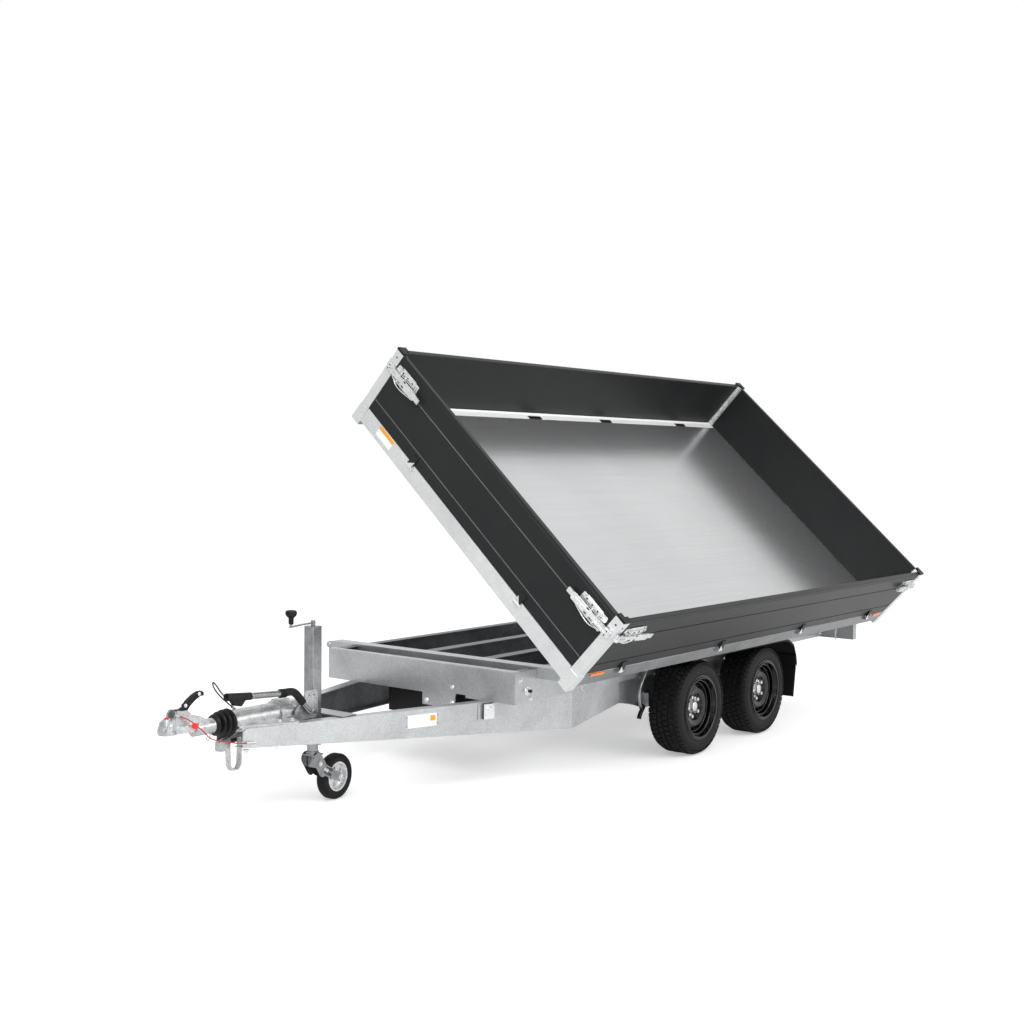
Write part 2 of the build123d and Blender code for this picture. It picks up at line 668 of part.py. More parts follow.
# Jack: square tube on a cross plate, crank, inner tube, fork and wheel
half = jack_size / 2
jack = block(jack_x - half, jack_x + half, -half, half, jack_low, jack_top)
jack = fillet(jack.edges().filter_by(Axis.Z), 6)
jack -= block(jack_x - half + jack_wall, jack_x + half - jack_wall, -half + jack_wall, half - jack_wall,
              jack_low - 1, jack_top - 8)
jack_y = web_y - (jack_x + half - beam_bend_x) * slope - 4
plate = block(jack_x - 55, jack_x + half + 4, -jack_y, jack_y, chassis_low + seat_gap, chassis_low + 6)
jack += plate - block(jack_x - half + 1, jack_x + half - 1, -half + 1, half - 1, 0, 900)
keep("jack_tube", jack)
crank_z = jack_top + 14
crank = bar((jack_x, 0, jack_top), (jack_x, 0, jack_top + 26), 10)
crank += side_prism([(jack_x - 9, crank_z - 4), (jack_x - 9, crank_z + 4), (jack_x + 60, crank_z + 2),
                     (jack_x + crank_reach + 8, crank_z - 4), (jack_x + crank_reach + 8, crank_z - 10),
                     (jack_x + 60, crank_z - 4)], -8, 8)
crank += bar((jack_x + crank_reach, 0, crank_z - 9), (jack_x + crank_reach, 0, crank_z + 20), 6)
keep("jack_crank", crank)
knob = [(0, 20), (12, 20), (12, 34), (23, 42), (25, 60), (20, 68), (0, 70)]
keep("crank_knob", turned(knob, (jack_x + crank_reach, 0, crank_z + seat_gap), (0, 0, 1), (1, 0, 0)))
keep("jack_leg", bar((jack_x, 0, fork_z + 40), (jack_x, 0, fork_z + 40 + leg_length), leg_radius))

swing = atan2(jockey_y, jockey_x - jack_x)
swivel = Pos(jack_x, 0, 0) * Rot(0, 0, degrees(swing) - 180)
trail = hypot(jockey_x - jack_x, jockey_y)
fork_top = fork_z + 40 - seat_gap
fork = Pos(0, 0, fork_top - 4) * Cylinder(30, 8)
fork += block(-44, 34, -fork_gap / 2 - fork_thick, fork_gap / 2 + fork_thick, fork_top - 14, fork_top - 7)
fork += side_prism([(34, fork_top - 8), (26, fork_top - 70), (8, fork_top - 62), (4, fork_top - 8)],
                   -fork_gap / 2 - 1, fork_gap / 2 + 1)
for way in (-1, 1):
    cheek = [(34, fork_top - 8), (34, fork_top - 34), (-20, fork_top - 82), (-trail + 18, jockey_radius - 18),
             (-trail - 4, jockey_radius - 16), (-trail - 15, jockey_radius + 2), (-trail - 4, jockey_radius + 18),
             (-64, fork_top - 42), (-44, fork_top - 8)]
    fork += side_prism(cheek, *sorted((way * fork_gap / 2, way * (fork_gap / 2 + fork_thick))))
axle_half = fork_gap / 2 + fork_thick + 5
fork += bar((-trail, -axle_half, jockey_radius), (-trail, axle_half, jockey_radius), 7)
keep("jockey_fork", swivel * fork)
hub = (-trail, 0, jockey_radius)
half = jockey_width / 2
tyre = turned([(70, -half + 7), (92, -half), (jockey_radius - 5, -half + 4), (jockey_radius, -half + 13),
               (jockey_radius, half - 13), (jockey_radius - 5, half - 4), (92, half), (70, half - 7)],
              hub, (0, 1, 0), (1, 0, 0))
keep("jockey_tyre", swivel * tyre)
rim = turned([(7.5, -26), (20, -26), (24, -8), (56, -6), (62, -half + 5), (70, -half + 5),
              (70, half - 5), (62, half - 5), (56, 6), (24, 8), (20, 26), (7.5, 26)],
             hub, (0, 1, 0), (1, 0, 0))
for number in range(5):
    rim -= Pos(*hub) * Rot(0, 72 * number, 0) * Pos(40, 0, 0) * Rot(90, 0, 0) * Cylinder(9, 60)
keep("jockey_rim", swivel * rim)

# Overrun housing: foot plate, collar, saddle, the brake lever's bracket, the strap
# below and the eye in front of it
foot_top = chassis_low + 8
housing = bar((housing_rear, 0, shaft_z), (housing_front, 0, shaft_z), housing_radius)
collar_x = housing_rear + 116
housing += bar((collar_x - 9, 0, shaft_z), (collar_x + 9, 0, shaft_z), housing_radius + 8)
saddle = front_prism([(-42, shaft_z), (42, shaft_z), (42, shaft_z + 34), (24, shaft_z + 65),
                      (-24, shaft_z + 65), (-42, shaft_z + 34)], housing_rear + 47, collar_x - 4)
housing += fillet(saddle.edges().filter_by(Axis.X), 8)
foot_outline = [(housing_front, 62), (housing_front - 80, 96), (collar_x + 34, 160), (collar_x + 8, 166),
                (collar_x - 10, 152), (collar_x - 10, -152), (collar_x + 8, -166),
                (collar_x + 34, -160), (housing_front - 80, -96), (housing_front, -62)]
housing += plan_prism(foot_outline, chassis_low + seat_gap, foot_top)
housing += block(collar_x, housing_front - 110, -housing_radius, housing_radius, foot_top - 4, shaft_z)
bracket = side_prism([(2523, 445), (2537, 431), (2660, 431), (2660, 475), (2604, 520), (2604, 546),
                      (2590, 560), (2537, 560), (2523, 546)], 62, 70)
for x, z in ((2548, 536), (2578, 536), (2543, 456)):
    bracket -= bar((x, 55, z), (x, 80, z), 6)
housing += bracket + block(2640, collar_x + 20, 20, 70, foot_top - 8 + seat_gap, foot_top + 6)
housing -= bar((housing_rear - 9, 0, shaft_z), (housing_front + 9, 0, shaft_z), shaft_radius + seat_gap)
strap = side_prism([(3000, 402), (2996, 276), (2982, 252), (2942, 252), (2930, 276), (2925, 402)], -15, 15)
strap -= side_prism([(2994, 396), (2990, 278), (2979, 258), (2945, 258), (2936, 278), (2931, 396)], -20, 20)
strap += block(2925, 2968, -15, 15, 396, shaft_z - 30)
strap += side_prism([(2994, 402), (3050, 389), (3055, 384), (3055, 350), (3050, 346), (3022, 346),
                     (3018, 351), (3018, 372), (2994, 380)], -15, 15)
housing += strap
housing += gland(black_end, black_bends[-1], 26)
keep("overrun_housing", housing)
shaft_front = ball_x - 192
keep("coupling_shaft", bar((housing_rear + 40, 0, shaft_z), (shaft_front, 0, shaft_z), shaft_radius))

boot_rear = housing_front + seat_gap
boot_front = housing_front + boot_length
pitch = (boot_front - boot_rear) / boot_folds
boot = [(shaft_radius + seat_gap, boot_rear)]
for number in range(boot_folds):
    start = boot_rear + number * pitch
    crest = boot_radius - (boot_radius - boot_tip_radius) * (number / (boot_folds - 1)) ** 2
    boot += [(crest - 13, start), (crest - 3, start + pitch * 0.3), (crest, start + pitch / 2),
             (crest - 3, start + pitch * 0.7)]
boot += [(boot_tip_radius - 12, boot_front), (shaft_radius + seat_gap, boot_front)]
keep("overrun_boot", turned(boot, (0, 0, shaft_z), (1, 0, 0), (0, 1, 0)))

# Coupling head: a neck on the shaft that spreads into the cup over the ball, with
# a cheek each side of the handle's pin
head = bar((boot_front + seat_gap, 0, shaft_z), (3190, 0, shaft_z), 33)
neck = side_prism([(3120, 438), (3120, 496), (3174, 524), (3235, 528), (3300, 528), (3338, 514), (3350, 480),
                   (3350, 464), (3210, 464), (3150, 440)], -30, 30)
head += fillet(neck.edges().filter_by(Axis.Y), 5)
cup_lip = head_cup_radius + 4
head += turned([(0, -9), (cup_lip, -9), (cup_lip, 5), (head_cup_radius, 9), (head_cup_radius, 30),
                (28, 46), (17, 58), (0, 62)], (ball_x, 0, ball_z), (0, 0, 1), (1, 0, 0))
head += plan_prism([(3300, -32), (3300, 32), (3250, 44), (3215, 44), (3180, 30), (3180, -30), (3215, -44),
                    (3250, -44)], ball_z - 8, ball_z + 24)
head += side_prism([(3266, 466), (3228, 466), (3222, 454), (3240, 456)], -9, 9)
pin_x, handle_pin_z = 3262.0, 545.0
for way in (-1, 1):
    cheek = [(3306, 500), (3300, 546), (3288, 561), (3268, 558), (3240, 557), (3226, 545), (3210, 500)]
    head += side_prism(cheek, *sorted((way * (head_cheek_y - 7), way * (head_cheek_y + 5))))
head += bar((pin_x, -head_cheek_y - 8, handle_pin_z), (pin_x, head_cheek_y + 8, handle_pin_z), 5)
head += gland(red_start, red_bends[0], 18)
head -= Pos(ball_x, 0, ball_z) * Sphere(ball_radius + running_gap)
head -= Pos(ball_x, 0, ball_z - 40) * Cylinder(ball_radius + running_gap, 80)
head -= bar((3040, 0, shaft_z), (shaft_front + running_gap, 0, shaft_z), shaft_radius + seat_gap)
keep("coupling_head", head)
handle = side_prism([(3272, 536), (3277, 546), (3270, 558), (3236, 592), (3190, 615), (3146, 627), (3131, 617),
                     (3134, 600), (3166, 600), (3206, 578), (3246, 540), (3258, 533)], -14, 14)
handle -= bar((pin_x, -20, handle_pin_z), (pin_x, 20, handle_pin_z), 5 + running_gap)
keep("coupling_handle", handle)

# Brake lever on its bracket: an arm, a thick elbow, a tube and a grip with a trigger
pivot = (2569, 465)
elbow_end = (2727, 570)
tube_end = (2942, 584)
y0, y1 = lever_y - lever_thick / 2, lever_y + lever_thick / 2
lever = bar((pivot[0], 70 + seat_gap, pivot[1]), (pivot[0], y1 + 4, pivot[1]), 16)
lever += side_prism([(2556, 474), (2578, 452), (2652, 500), (2646, 530), (2628, 522)], y0 + 4, y1 - 4)
lever += side_prism([(2640, 498), (2656, 512), (2648, 534), (2688, 567), (2728, 553), (2737, 572), (2732, 588),
                     (2688, 603), (2666, 598), (2608, 546), (2620, 514)], y0, y1)
lever += bar((elbow_end[0] - 12, lever_y, elbow_end[1] - 0.8), (tube_end[0], lever_y, tube_end[1]), lever_radius)
keep("brake_lever", lever)
grip_end = (tube_end[0] + grip_length, tube_end[1] + grip_rise)
grip = bar((tube_end[0] + 1.5, lever_y, tube_end[1]), (grip_end[0], lever_y, grip_end[1]), grip_radius)
grip += side_prism([(3062, 590), (2968, 582), (3000, 548), (3040, 556)], lever_y - 10, lever_y + 10)
grip += gland(black_start, black_bends[0], 16)
keep("brake_grip", grip)

cord("breakaway_cable", red_start, red_bends, red_end, red_cable)
cord("brake_cable", black_start, black_bends, black_end, black_cable)

os.makedirs("parts", exist_ok=True)
for name, shape in pieces.items():
    export_step(shape, os.path.join("parts", name + ".step"))
print(len(pieces), "pieces")
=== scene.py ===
import json
from math import cos, pi, radians, sin

import bpy
from mathutils import Matrix, Vector


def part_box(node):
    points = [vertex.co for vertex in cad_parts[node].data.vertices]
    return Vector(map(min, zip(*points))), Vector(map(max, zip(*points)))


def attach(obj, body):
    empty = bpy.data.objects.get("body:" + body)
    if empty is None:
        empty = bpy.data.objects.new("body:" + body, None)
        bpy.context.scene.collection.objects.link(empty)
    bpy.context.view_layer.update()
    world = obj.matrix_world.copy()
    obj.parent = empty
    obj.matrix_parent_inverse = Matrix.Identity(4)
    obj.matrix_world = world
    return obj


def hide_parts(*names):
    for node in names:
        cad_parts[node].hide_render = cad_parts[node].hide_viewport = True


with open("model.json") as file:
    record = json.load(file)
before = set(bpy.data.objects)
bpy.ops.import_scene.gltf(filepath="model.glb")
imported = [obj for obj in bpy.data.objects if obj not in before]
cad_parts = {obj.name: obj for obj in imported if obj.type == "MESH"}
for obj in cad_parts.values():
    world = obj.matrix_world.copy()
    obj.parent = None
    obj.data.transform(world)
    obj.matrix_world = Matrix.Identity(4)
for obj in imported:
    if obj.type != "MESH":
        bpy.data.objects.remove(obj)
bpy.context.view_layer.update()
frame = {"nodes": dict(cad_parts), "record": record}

print("frame loaded:", len(frame["nodes"]), "nodes")

# Places that several pieces share, in metres in the frame of the part
groundLevel = -0.472
bedMiddle = -3.322
bedLevel = 0.282
tipAngle = radians(42.93)
tipAxis = Vector((0.0, 0.834, 0.110))
touch = 1e-6             # places nearer than this are the same


def linear(hexText):
    channels = [int(hexText[i:i + 2], 16) / 255 for i in (1, 3, 5)]
    return [c / 12.92 if c <= 0.04045 else ((c + 0.055) / 1.055) ** 2.4 for c in channels] + [1.0]


bedPlace = Matrix.Translation(tipAxis) @ Matrix.Rotation(-tipAngle, 4, "X") @ Matrix.Translation(
    Vector((bedMiddle, 0, bedLevel)) - tipAxis)


def onBed(x, y, z):
    # a place on the flat bed, z from its floor, carried to where the tipped bed has it
    return bedPlace @ Vector((x, y, z))


def fromGround(x, y, z):
    # a place measured from the ground under the bed's middle
    return Vector((bedMiddle + x, y, groundLevel + z))


def groundLine(points):
    return [fromGround(*point) for point in points]


def bedTurned(way):
    # a direction on the flat bed, turned as the tipped bed is
    return onBed(*way) - onBed(0, 0, 0)


def flatBed(point):
    # the other way: where a place on the tipped bed is when the bed lies flat
    flat = tipAxis + Matrix.Rotation(tipAngle, 3, "X") @ (Vector(point) - tipAxis)
    return Vector((flat.x - bedMiddle, flat.y, flat.z - bedLevel))


def addNode(tree, kind, settings=None, values=None, links=None):
    node = tree.nodes.new(kind)
    for key, value in (settings or {}).items():
        setattr(node, key, value)
    for key, value in (values or {}).items():
        node.inputs[key].default_value = value
    for key, source in (links or {}).items():
        tree.links.new(source, node.inputs[key])
    return node


def startMaterial(name, values):
    material = bpy.data.materials.new(name)
    material.use_nodes = True
    tree = material.node_tree
    tree.nodes.clear()
    shader = addNode(tree, "ShaderNodeBsdfPrincipled", values=values)
    addNode(tree, "ShaderNodeOutputMaterial", links={"Surface": shader.outputs["BSDF"]})
    place = addNode(tree, "ShaderNodeTexCoord").outputs["Object"]
    return material, tree, shader, place


def perMetre(millimetres):
    return 1000.0 / millimetres


def coloured(tree, shader, colours, share, rough, worn):
    # the colour runs between two by one pattern, the roughness between two values by another
    mixed = addNode(tree, "ShaderNodeMix", {"data_type": "RGBA"},
                    {"A": linear(colours[0]), "B": linear(colours[1])}, {"Factor": share})
    tree.links.new(mixed.outputs["Result"], shader.inputs["Base Color"])
    shine = addNode(tree, "ShaderNodeMapRange", values={"To Min": rough[0], "To Max": rough[1]},
                    links={"Value": worn})
    tree.links.new(shine.outputs["Result"], shader.inputs["Roughness"])


def grained(tree, shader, place, look, detail, depth):
    # a fine grain that only the light shows
    grain = addNode(tree, "ShaderNodeTexNoise", values={"Scale": perMetre(look["grainMm"]), "Detail": detail},
                    links={"Vector": place})
    bump = addNode(tree, "ShaderNodeBump", values={"Strength": look["bump"], "Distance": depth},
                   links={"Height": grain.outputs["Fac"]})
    tree.links.new(bump.outputs["Normal"], shader.inputs["Normal"])


def galvanisedSteel(name, look):
    # zinc: soft frosty crystals under duller clouds; plated and chromed steel have them too faint to see
    material, tree, shader, place = startMaterial(name, {"Metallic": look["metallic"]})
    crystals = addNode(tree, "ShaderNodeTexVoronoi", {"feature": "SMOOTH_F1"},
                       {"Scale": perMetre(look["crystalMm"]), "Smoothness": 0.6}, {"Vector": place})
    tone = addNode(tree, "ShaderNodeRGBToBW", links={"Color": crystals.outputs["Color"]})
    clouds = addNode(tree, "ShaderNodeTexNoise", values={
        "Scale": perMetre(look["cloudMm"]), "Detail": 8.0, "Roughness": 0.68, "Distortion": 0.6},
        links={"Vector": place})
    both = addNode(tree, "ShaderNodeMath", {"operation": "MULTIPLY_ADD"}, {1: look["crystalShare"]},
                   {0: tone.outputs[0], 2: clouds.outputs["Fac"]})
    middle = 0.5 + 0.5 * look["crystalShare"]
    share = addNode(tree, "ShaderNodeMapRange", values={"From Min": middle - 0.30, "From Max": middle + 0.26},
                    links={"Value": both.outputs[0]})
    coloured(tree, shader, (look["dull"], look["bright"]), share.outputs["Result"], look["rough"],
             clouds.outputs["Fac"])
    grained(tree, shader, place, look, 3.0, 0.001)
    return material


def coatedSurface(name, look):
    # one colour over a grained skin, a little dust making it paler in clouds
    material, tree, shader, place = startMaterial(name, {
        "Metallic": 0.0, "IOR": look.get("ior", 1.5), "Coat Weight": look.get("coat", 0.0),
        "Coat Roughness": look.get("coatRough", 0.1)})
    clouds = addNode(tree, "ShaderNodeTexNoise", values={
        "Scale": perMetre(look["cloudMm"]), "Detail": 6.0, "Roughness": 0.65}, links={"Vector": place})
    dust = addNode(tree, "ShaderNodeMapRange", values={"From Min": 0.4, "From Max": 0.8},
                   links={"Value": clouds.outputs["Fac"]})
    coloured(tree, shader, (look["colour"], look["dusty"]), dust.outputs["Result"], look["rough"],
             clouds.outputs["Fac"])
    grained(tree, shader, place, look, 2.0, 0.0005)
    return material


def rolledSheet(name, look):
    # cold-rolled steel sheet: long fine streaks along the roll, turned with the tipped bed
    material, tree, shader, place = startMaterial(name, {"Metallic": look["metallic"]})
    scale = [perMetre(look[key]) for key in ("streakMm", "lineMm", "lineMm")]
    along = addNode(tree, "ShaderNodeMapping", values={"Rotation": (tipAngle, 0, 0), "Scale": scale},
                    links={"Vector": place})
    streaks = addNode(tree, "ShaderNodeTexNoise", values={"Scale": 1.0, "Detail": 4.0, "Roughness": 0.7},
                      links={"Vector": along.outputs["Vector"]})
    clouds = addNode(tree, "ShaderNodeTexNoise", values={"Scale": perMetre(look["cloudMm"]), "Detail": 3.0},
                     links={"Vector": place})
    tone = addNode(tree, "ShaderNodeMath", {"operation": "MULTIPLY_ADD"}, {1: 0.6},
                   {0: streaks.outputs["Fac"], 2: clouds.outputs["Fac"]})
    share = addNode(tree, "ShaderNodeMapRange", values={"From Min": 0.5, "From Max": 1.1},
                    links={"Value": tone.outputs[0]})
    coloured(tree, shader, (look["dull"], look["bright"]), share.outputs["Result"], look["rough"],
             streaks.outputs["Fac"])
    return material


materials = {
    # hot-dipped sections: mid grey, small crystals, soft broad reflections
    "chassisZinc": galvanisedSteel("galvanised steel sections", dict(
        bright="#cfd1d2", dull="#9c9ea0", crystalMm=5.0, cloudMm=520.0, crystalShare=0.30,
        rough=(0.26, 0.46), grainMm=3.0, bump=0.12, metallic=0.85)),
    # folded sheet dipped thin: almost white, even
    "bedZinc": galvanisedSteel("galvanised folded sheet", dict(
        bright="#f2f3f3", dull="#cbcdce", crystalMm=4.0, cloudMm=520.0, crystalShare=0.25,
        rough=(0.30, 0.48), grainMm=2.5, bump=0.08, metallic=0.7)),
    # electroplated small parts: darker, sharp glints
    "zincPlate": galvanisedSteel("bright zinc plated steel", dict(
        bright="#a9abad", dull="#76787a", crystalMm=2.0, cloudMm=40.0, crystalShare=0.15,
        rough=(0.16, 0.30), grainMm=1.2, bump=0.04, metallic=0.9)),
    # sand-cast and dipped: lumpy skin, light and dark patches
    "castZinc": galvanisedSteel("galvanised cast iron", dict(
        bright="#dcdddd", dull="#8f9193", crystalMm=5.0, cloudMm=60.0, crystalShare=0.35,
        rough=(0.26, 0.42), grainMm=1.6, bump=0.22, metallic=0.88)),
    # ground and chromed: a clean mirror
    "hardChrome": galvanisedSteel("hard chromed rod", dict(
        bright="#e3e5e7", dull="#d4d6d8", crystalMm=3.0, cloudMm=80.0, crystalShare=0.05,
        rough=(0.07, 0.12), grainMm=1.0, bump=0.01, metallic=1.0)),
    # pressed and passivated: pale silver with clear highlights; on the corner posts' inner faces and the bed rails'
    # tops it is a painted highlight
    "brightZinc": galvanisedSteel("passivated steel, also painted highlight", dict(
        bright="#f2f3f3", dull="#c6c8c9", crystalMm=9.0, cloudMm=40.0, crystalShare=0.15,
        rough=(0.20, 0.34), grainMm=6.0, bump=0.02, metallic=0.65)),
    # painted highlight: a rolled edge coloured nearly white, as where it catches the sky
    "lipHighlightZinc": galvanisedSteel("rolled lip with painted highlight", dict(
        bright="#fcfcfc", dull="#f0f1f1", crystalMm=4.0, cloudMm=300.0, crystalShare=0.06,
        rough=(0.40, 0.50), grainMm=3.0, bump=0.02, metallic=0.15)),
    # painted shade: dull mid grey zinc for the bed rails' outer faces
    "railShadeZinc": galvanisedSteel("galvanised steel with lighter painted shade", dict(
        bright="#a9abad", dull="#77797b", crystalMm=5.0, cloudMm=260.0, crystalShare=0.40,
        rough=(0.34, 0.52), grainMm=3.0, bump=0.12, metallic=0.85)),
    # painted shade: dark grey zinc for faces inside the frame and under the bed, where the bed's shade falls
    "paintedShadeZinc": galvanisedSteel("galvanised steel with painted shade", dict(
        bright="#85878a", dull="#505254", crystalMm=5.0, cloudMm=200.0, crystalShare=0.40,
        rough=(0.34, 0.52), grainMm=3.0, bump=0.12, metallic=0.85)),
    # painted highlight: a pale grey coat on the front board's grooves, where they catch the light
    "grooveHighlightCoat": coatedSurface("powder coat with painted highlight", dict(
        colour="#6a6b6c", dusty="#747576", cloudMm=420.0, rough=(0.32, 0.40), grainMm=1.4, bump=0.05)),
    # powder coat on aluminium: charcoal, satin, faint grain
    "boardCoat": coatedSurface("powder coated aluminium", dict(
        colour="#212223", dusty="#262727", cloudMm=420.0, rough=(0.32, 0.40), grainMm=1.4, bump=0.05,
        ior=1.28)),
    # stoved enamel: deep black with a clear shine
    "rimCoat": coatedSurface("gloss black rim enamel", dict(
        colour="#030303", dusty="#070707", cloudMm=60.0, rough=(0.14, 0.24), grainMm=2.0, bump=0.05,
        ior=1.42, coat=0.25, coatRough=0.06)),
    # sprayed enamel: dark grey, half gloss
    "cylinderPaint": coatedSurface("cylinder enamel", dict(
        colour="#1b1c1d", dusty="#28292a", cloudMm=70.0, rough=(0.30, 0.42), grainMm=2.0, bump=0.06)),
    # moulded polyamide: black, fine matt skin; also black plates of painted shade in latch gaps, holes and recesses
    "blackPlasticAndShade": coatedSurface("moulded black plastic, also painted shade", dict(
        colour="#080808", dusty="#0e0e0e", cloudMm=50.0, rough=(0.40, 0.52), grainMm=0.9, bump=0.10,
        ior=1.36)),
    # rolled sheet with a pressed grain: black, dull
    "guardPlastic": coatedSurface("grained polyethylene", dict(
        colour="#0d0d0d", dusty="#141414", cloudMm=180.0, rough=(0.46, 0.62), grainMm=1.6, bump=0.16,
        ior=1.35)),
    # vulcanised tread rubber: near black, matt
    "tyreRubber": coatedSurface("tyre rubber", dict(
        colour="#101010", dusty="#171717", cloudMm=45.0, rough=(0.50, 0.66), grainMm=1.8, bump=0.14,
        ior=1.32)),
    # moulded bellows rubber: black with a soft sheen
    "bootRubber": coatedSurface("moulded rubber bellows", dict(
        colour="#070707", dusty="#0e0e0e", cloudMm=30.0, rough=(0.38, 0.52), grainMm=1.0, bump=0.08,
        ior=1.36)),
    # extruded sheath: dark red, smooth
    "redSheath": coatedSurface("red plastic cable sheath", dict(
        colour="#a3121a", dusty="#b01f24", cloudMm=30.0, rough=(0.30, 0.42), grainMm=1.5, bump=0.05)),
    # moulded signal plastic: plain bright red
    "redTag": coatedSurface("signal red plastic", dict(
        colour="#e3120b", dusty="#e8261c", cloudMm=30.0, rough=(0.35, 0.45), grainMm=1.5, bump=0.04)),
    # lamp acrylic: glassy, deep red or amber
    "redLens": coatedSurface("red lamp acrylic", dict(
        colour="#a3100f", dusty="#ab1a14", cloudMm=80.0, rough=(0.08, 0.14), grainMm=6.0, bump=0.10,
        ior=1.49, coat=0.4)),
    "amberLens": coatedSurface("amber marker acrylic", dict(
        colour="#ee7d12", dusty="#f08a1e", cloudMm=60.0, rough=(0.12, 0.20), grainMm=4.0, bump=0.20,
        ior=1.49, coat=0.3)),
    # printed vinyl film: flat, even colour
    "labelWhite": coatedSurface("white vinyl label", dict(
        colour="#f1f1ef", dusty="#e8e8e6", cloudMm=40.0, rough=(0.30, 0.38), grainMm=5.0, bump=0.02)),
    "labelAmber": coatedSurface("amber vinyl label", dict(
        colour="#f09a1c", dusty="#ea9118", cloudMm=40.0, rough=(0.30, 0.38), grainMm=5.0, bump=0.02)),
    # cold-rolled and lightly oiled: silver streaks along the bed
    "floorSheet": rolledSheet("cold rolled floor sheet", dict(
        bright="#d2d3d4", dull="#c3c4c5", streakMm=900.0, lineMm=14.0, cloudMm=900.0, rough=(0.21, 0.24),
        metallic=0.88)),
}

# Which finish each slot of the record gets on the nodes that stay
slotFinish = {
    "board_grey": "boardCoat", "galvanised_bed": "bedZinc", "galvanised_chassis": "chassisZinc",
    "floor_steel": "floorSheet", "black_plastic": "blackPlasticAndShade", "guard_plastic": "guardPlastic",
    "red_lens": "redLens", "cylinder_paint": "cylinderPaint", "chrome_rod": "hardChrome",
    "zinc_jack": "zincPlate", "cast_coupling": "castZinc", "black_rubber": "bootRubber",
    "tyre_rubber": "tyreRubber", "black_rim": "rimCoat", "red_cable": "redSheath",
}
nodeSlot = {entry["node"]: entry["material_slot"] for entry in frame["record"]["subparts"]}
for nodeName, node in frame["nodes"].items():
    node.data.materials.clear()
    node.data.materials.append(materials[slotFinish[nodeSlot[nodeName]]])
for nodeName, finish in (("jack_crank", "zincPlate"), ("jockey_rim", "brightZinc")):
    frame["nodes"][nodeName].data.materials[0] = materials[finish]
print("materials:", len(materials))


def paintFaces(nodeName, finish, inside):
    # gives the faces whose middle lies inside the test a second finish
    mesh = frame["nodes"][nodeName].data
    mesh.materials.append(materials[finish])
    slot = len(mesh.materials) - 1
    for face in mesh.polygons:
        if inside(face.center):
            face.material_index = slot


# Each board: how far its face is from the bed's middle, how far along it the posts are, and its turn
boardSides = {"front": (1.805, 0.882, 0.0), "left": (0.940, 1.747, pi / 2), "rear": (1.805, 0.882, pi),
              "right": (0.940, 1.747, -pi / 2)}

# Where a second finish begins on the CAD nodes, in metres on the flat bed or in the frame of the part
paintLook = dict(proud=0.0005, latchesFrom=0.15, leavesBelow=0.0025,
                 grooveX=(1.7995, 1.8047), grooveY=0.88, grooveZ=(0.02, 0.30), postX=1.778, postY=0.9125,
                 railOut=0.9385, railBelow=-0.002, topIn=0.9105, topFrom=-0.0008,
                 markerX=(1.58, 1.71), markerOut=0.9405, markerZ=(-0.024, -0.001),
                 chassisIn=0.6265, memberBelow=0.141, beamBelow=-0.045)


def within(value, limits):
    return limits[0] < value < limits[1]


def isHardware(centre, axis, face):
    # the latches stand proud of the board's face, the hinge leaves hang below it
    flat = flatBed(centre)
    proud = abs(flat[axis]) > face + paintLook["proud"] and flat.z > paintLook["latchesFrom"]
    return proud or flat.z < paintLook["leavesBelow"]


def isGroove(centre):
    flat = flatBed(centre)
    return (within(flat.x, paintLook["grooveX"]) and abs(flat.y) < paintLook["grooveY"]
            and within(flat.z, paintLook["grooveZ"]))


def isPostInside(centre):
    flat = flatBed(centre)
    return abs(flat.x) < paintLook["postX"] and abs(flat.y) < paintLook["postY"]


def isRailOutside(centre):
    flat = flatBed(centre)
    return abs(flat.y) > paintLook["railOut"] and flat.z < paintLook["railBelow"]


def isRailTop(centre):
    flat = flatBed(centre)
    return flat.z > paintLook["topFrom"] and abs(flat.y) < paintLook["topIn"]


def isMarker(centre):
    flat = flatBed(centre)
    return (abs(flat.y) > paintLook["markerOut"] and within(flat.z, paintLook["markerZ"])
            and within(abs(flat.x), paintLook["markerX"]))


# Latches and hinge leaves are bright zinc on the coated boards; the front board's grooves get a pale coat as a
# painted highlight
for side, look in boardSides.items():
    axis = int(side in ("left", "right"))
    paintFaces("board_" + side, "brightZinc", lambda centre: isHardware(centre, axis, look[0]))
paintFaces("board_front", "grooveHighlightCoat", isGroove)

# The posts' inner faces get bright zinc as a painted highlight; the side rails get painted shade on their outer
# faces, bright zinc on their tops as a painted highlight, and amber markers
paintFaces("corner_posts", "brightZinc", isPostInside)
for side in ("left", "right"):
    for finish, test in (("railShadeZinc", isRailOutside), ("brightZinc", isRailTop), ("amberLens", isMarker)):
        paintFaces("bed_rail_" + side, finish, test)
    # painted shade on the chassis rail's inner faces
    paintFaces("chassis_rail_" + side, "paintedShadeZinc", lambda centre: abs(centre.y) < paintLook["chassisIn"])
# painted shade on the crossmembers' lower faces and the right drawbar beam's lower faces
paintFaces("chassis_crossmembers", "paintedShadeZinc", lambda centre: centre.z < paintLook["memberBelow"])
paintFaces("drawbar_beam_right", "paintedShadeZinc", lambda centre: centre.z < paintLook["beamBelow"])


def selectOnly(piece):
    if bpy.context.object and bpy.context.object.mode != "OBJECT":
        bpy.ops.object.mode_set(mode="OBJECT")
    bpy.ops.object.select_all(action="DESELECT")
    if piece:
        piece.select_set(True)
        bpy.context.view_layer.objects.active = piece


def placed(piece, body, finish):
    # place goes into the mesh, then the piece gets its finish and its body
    selectOnly(piece)
    for modifier in list(piece.modifiers):
        bpy.ops.object.modifier_apply(modifier=modifier.name)
    bpy.ops.object.transform_apply(location=True, rotation=True, scale=True)
    piece.data.materials.clear()
    piece.data.materials.append(materials[finish])
    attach(piece, body)
    return piece


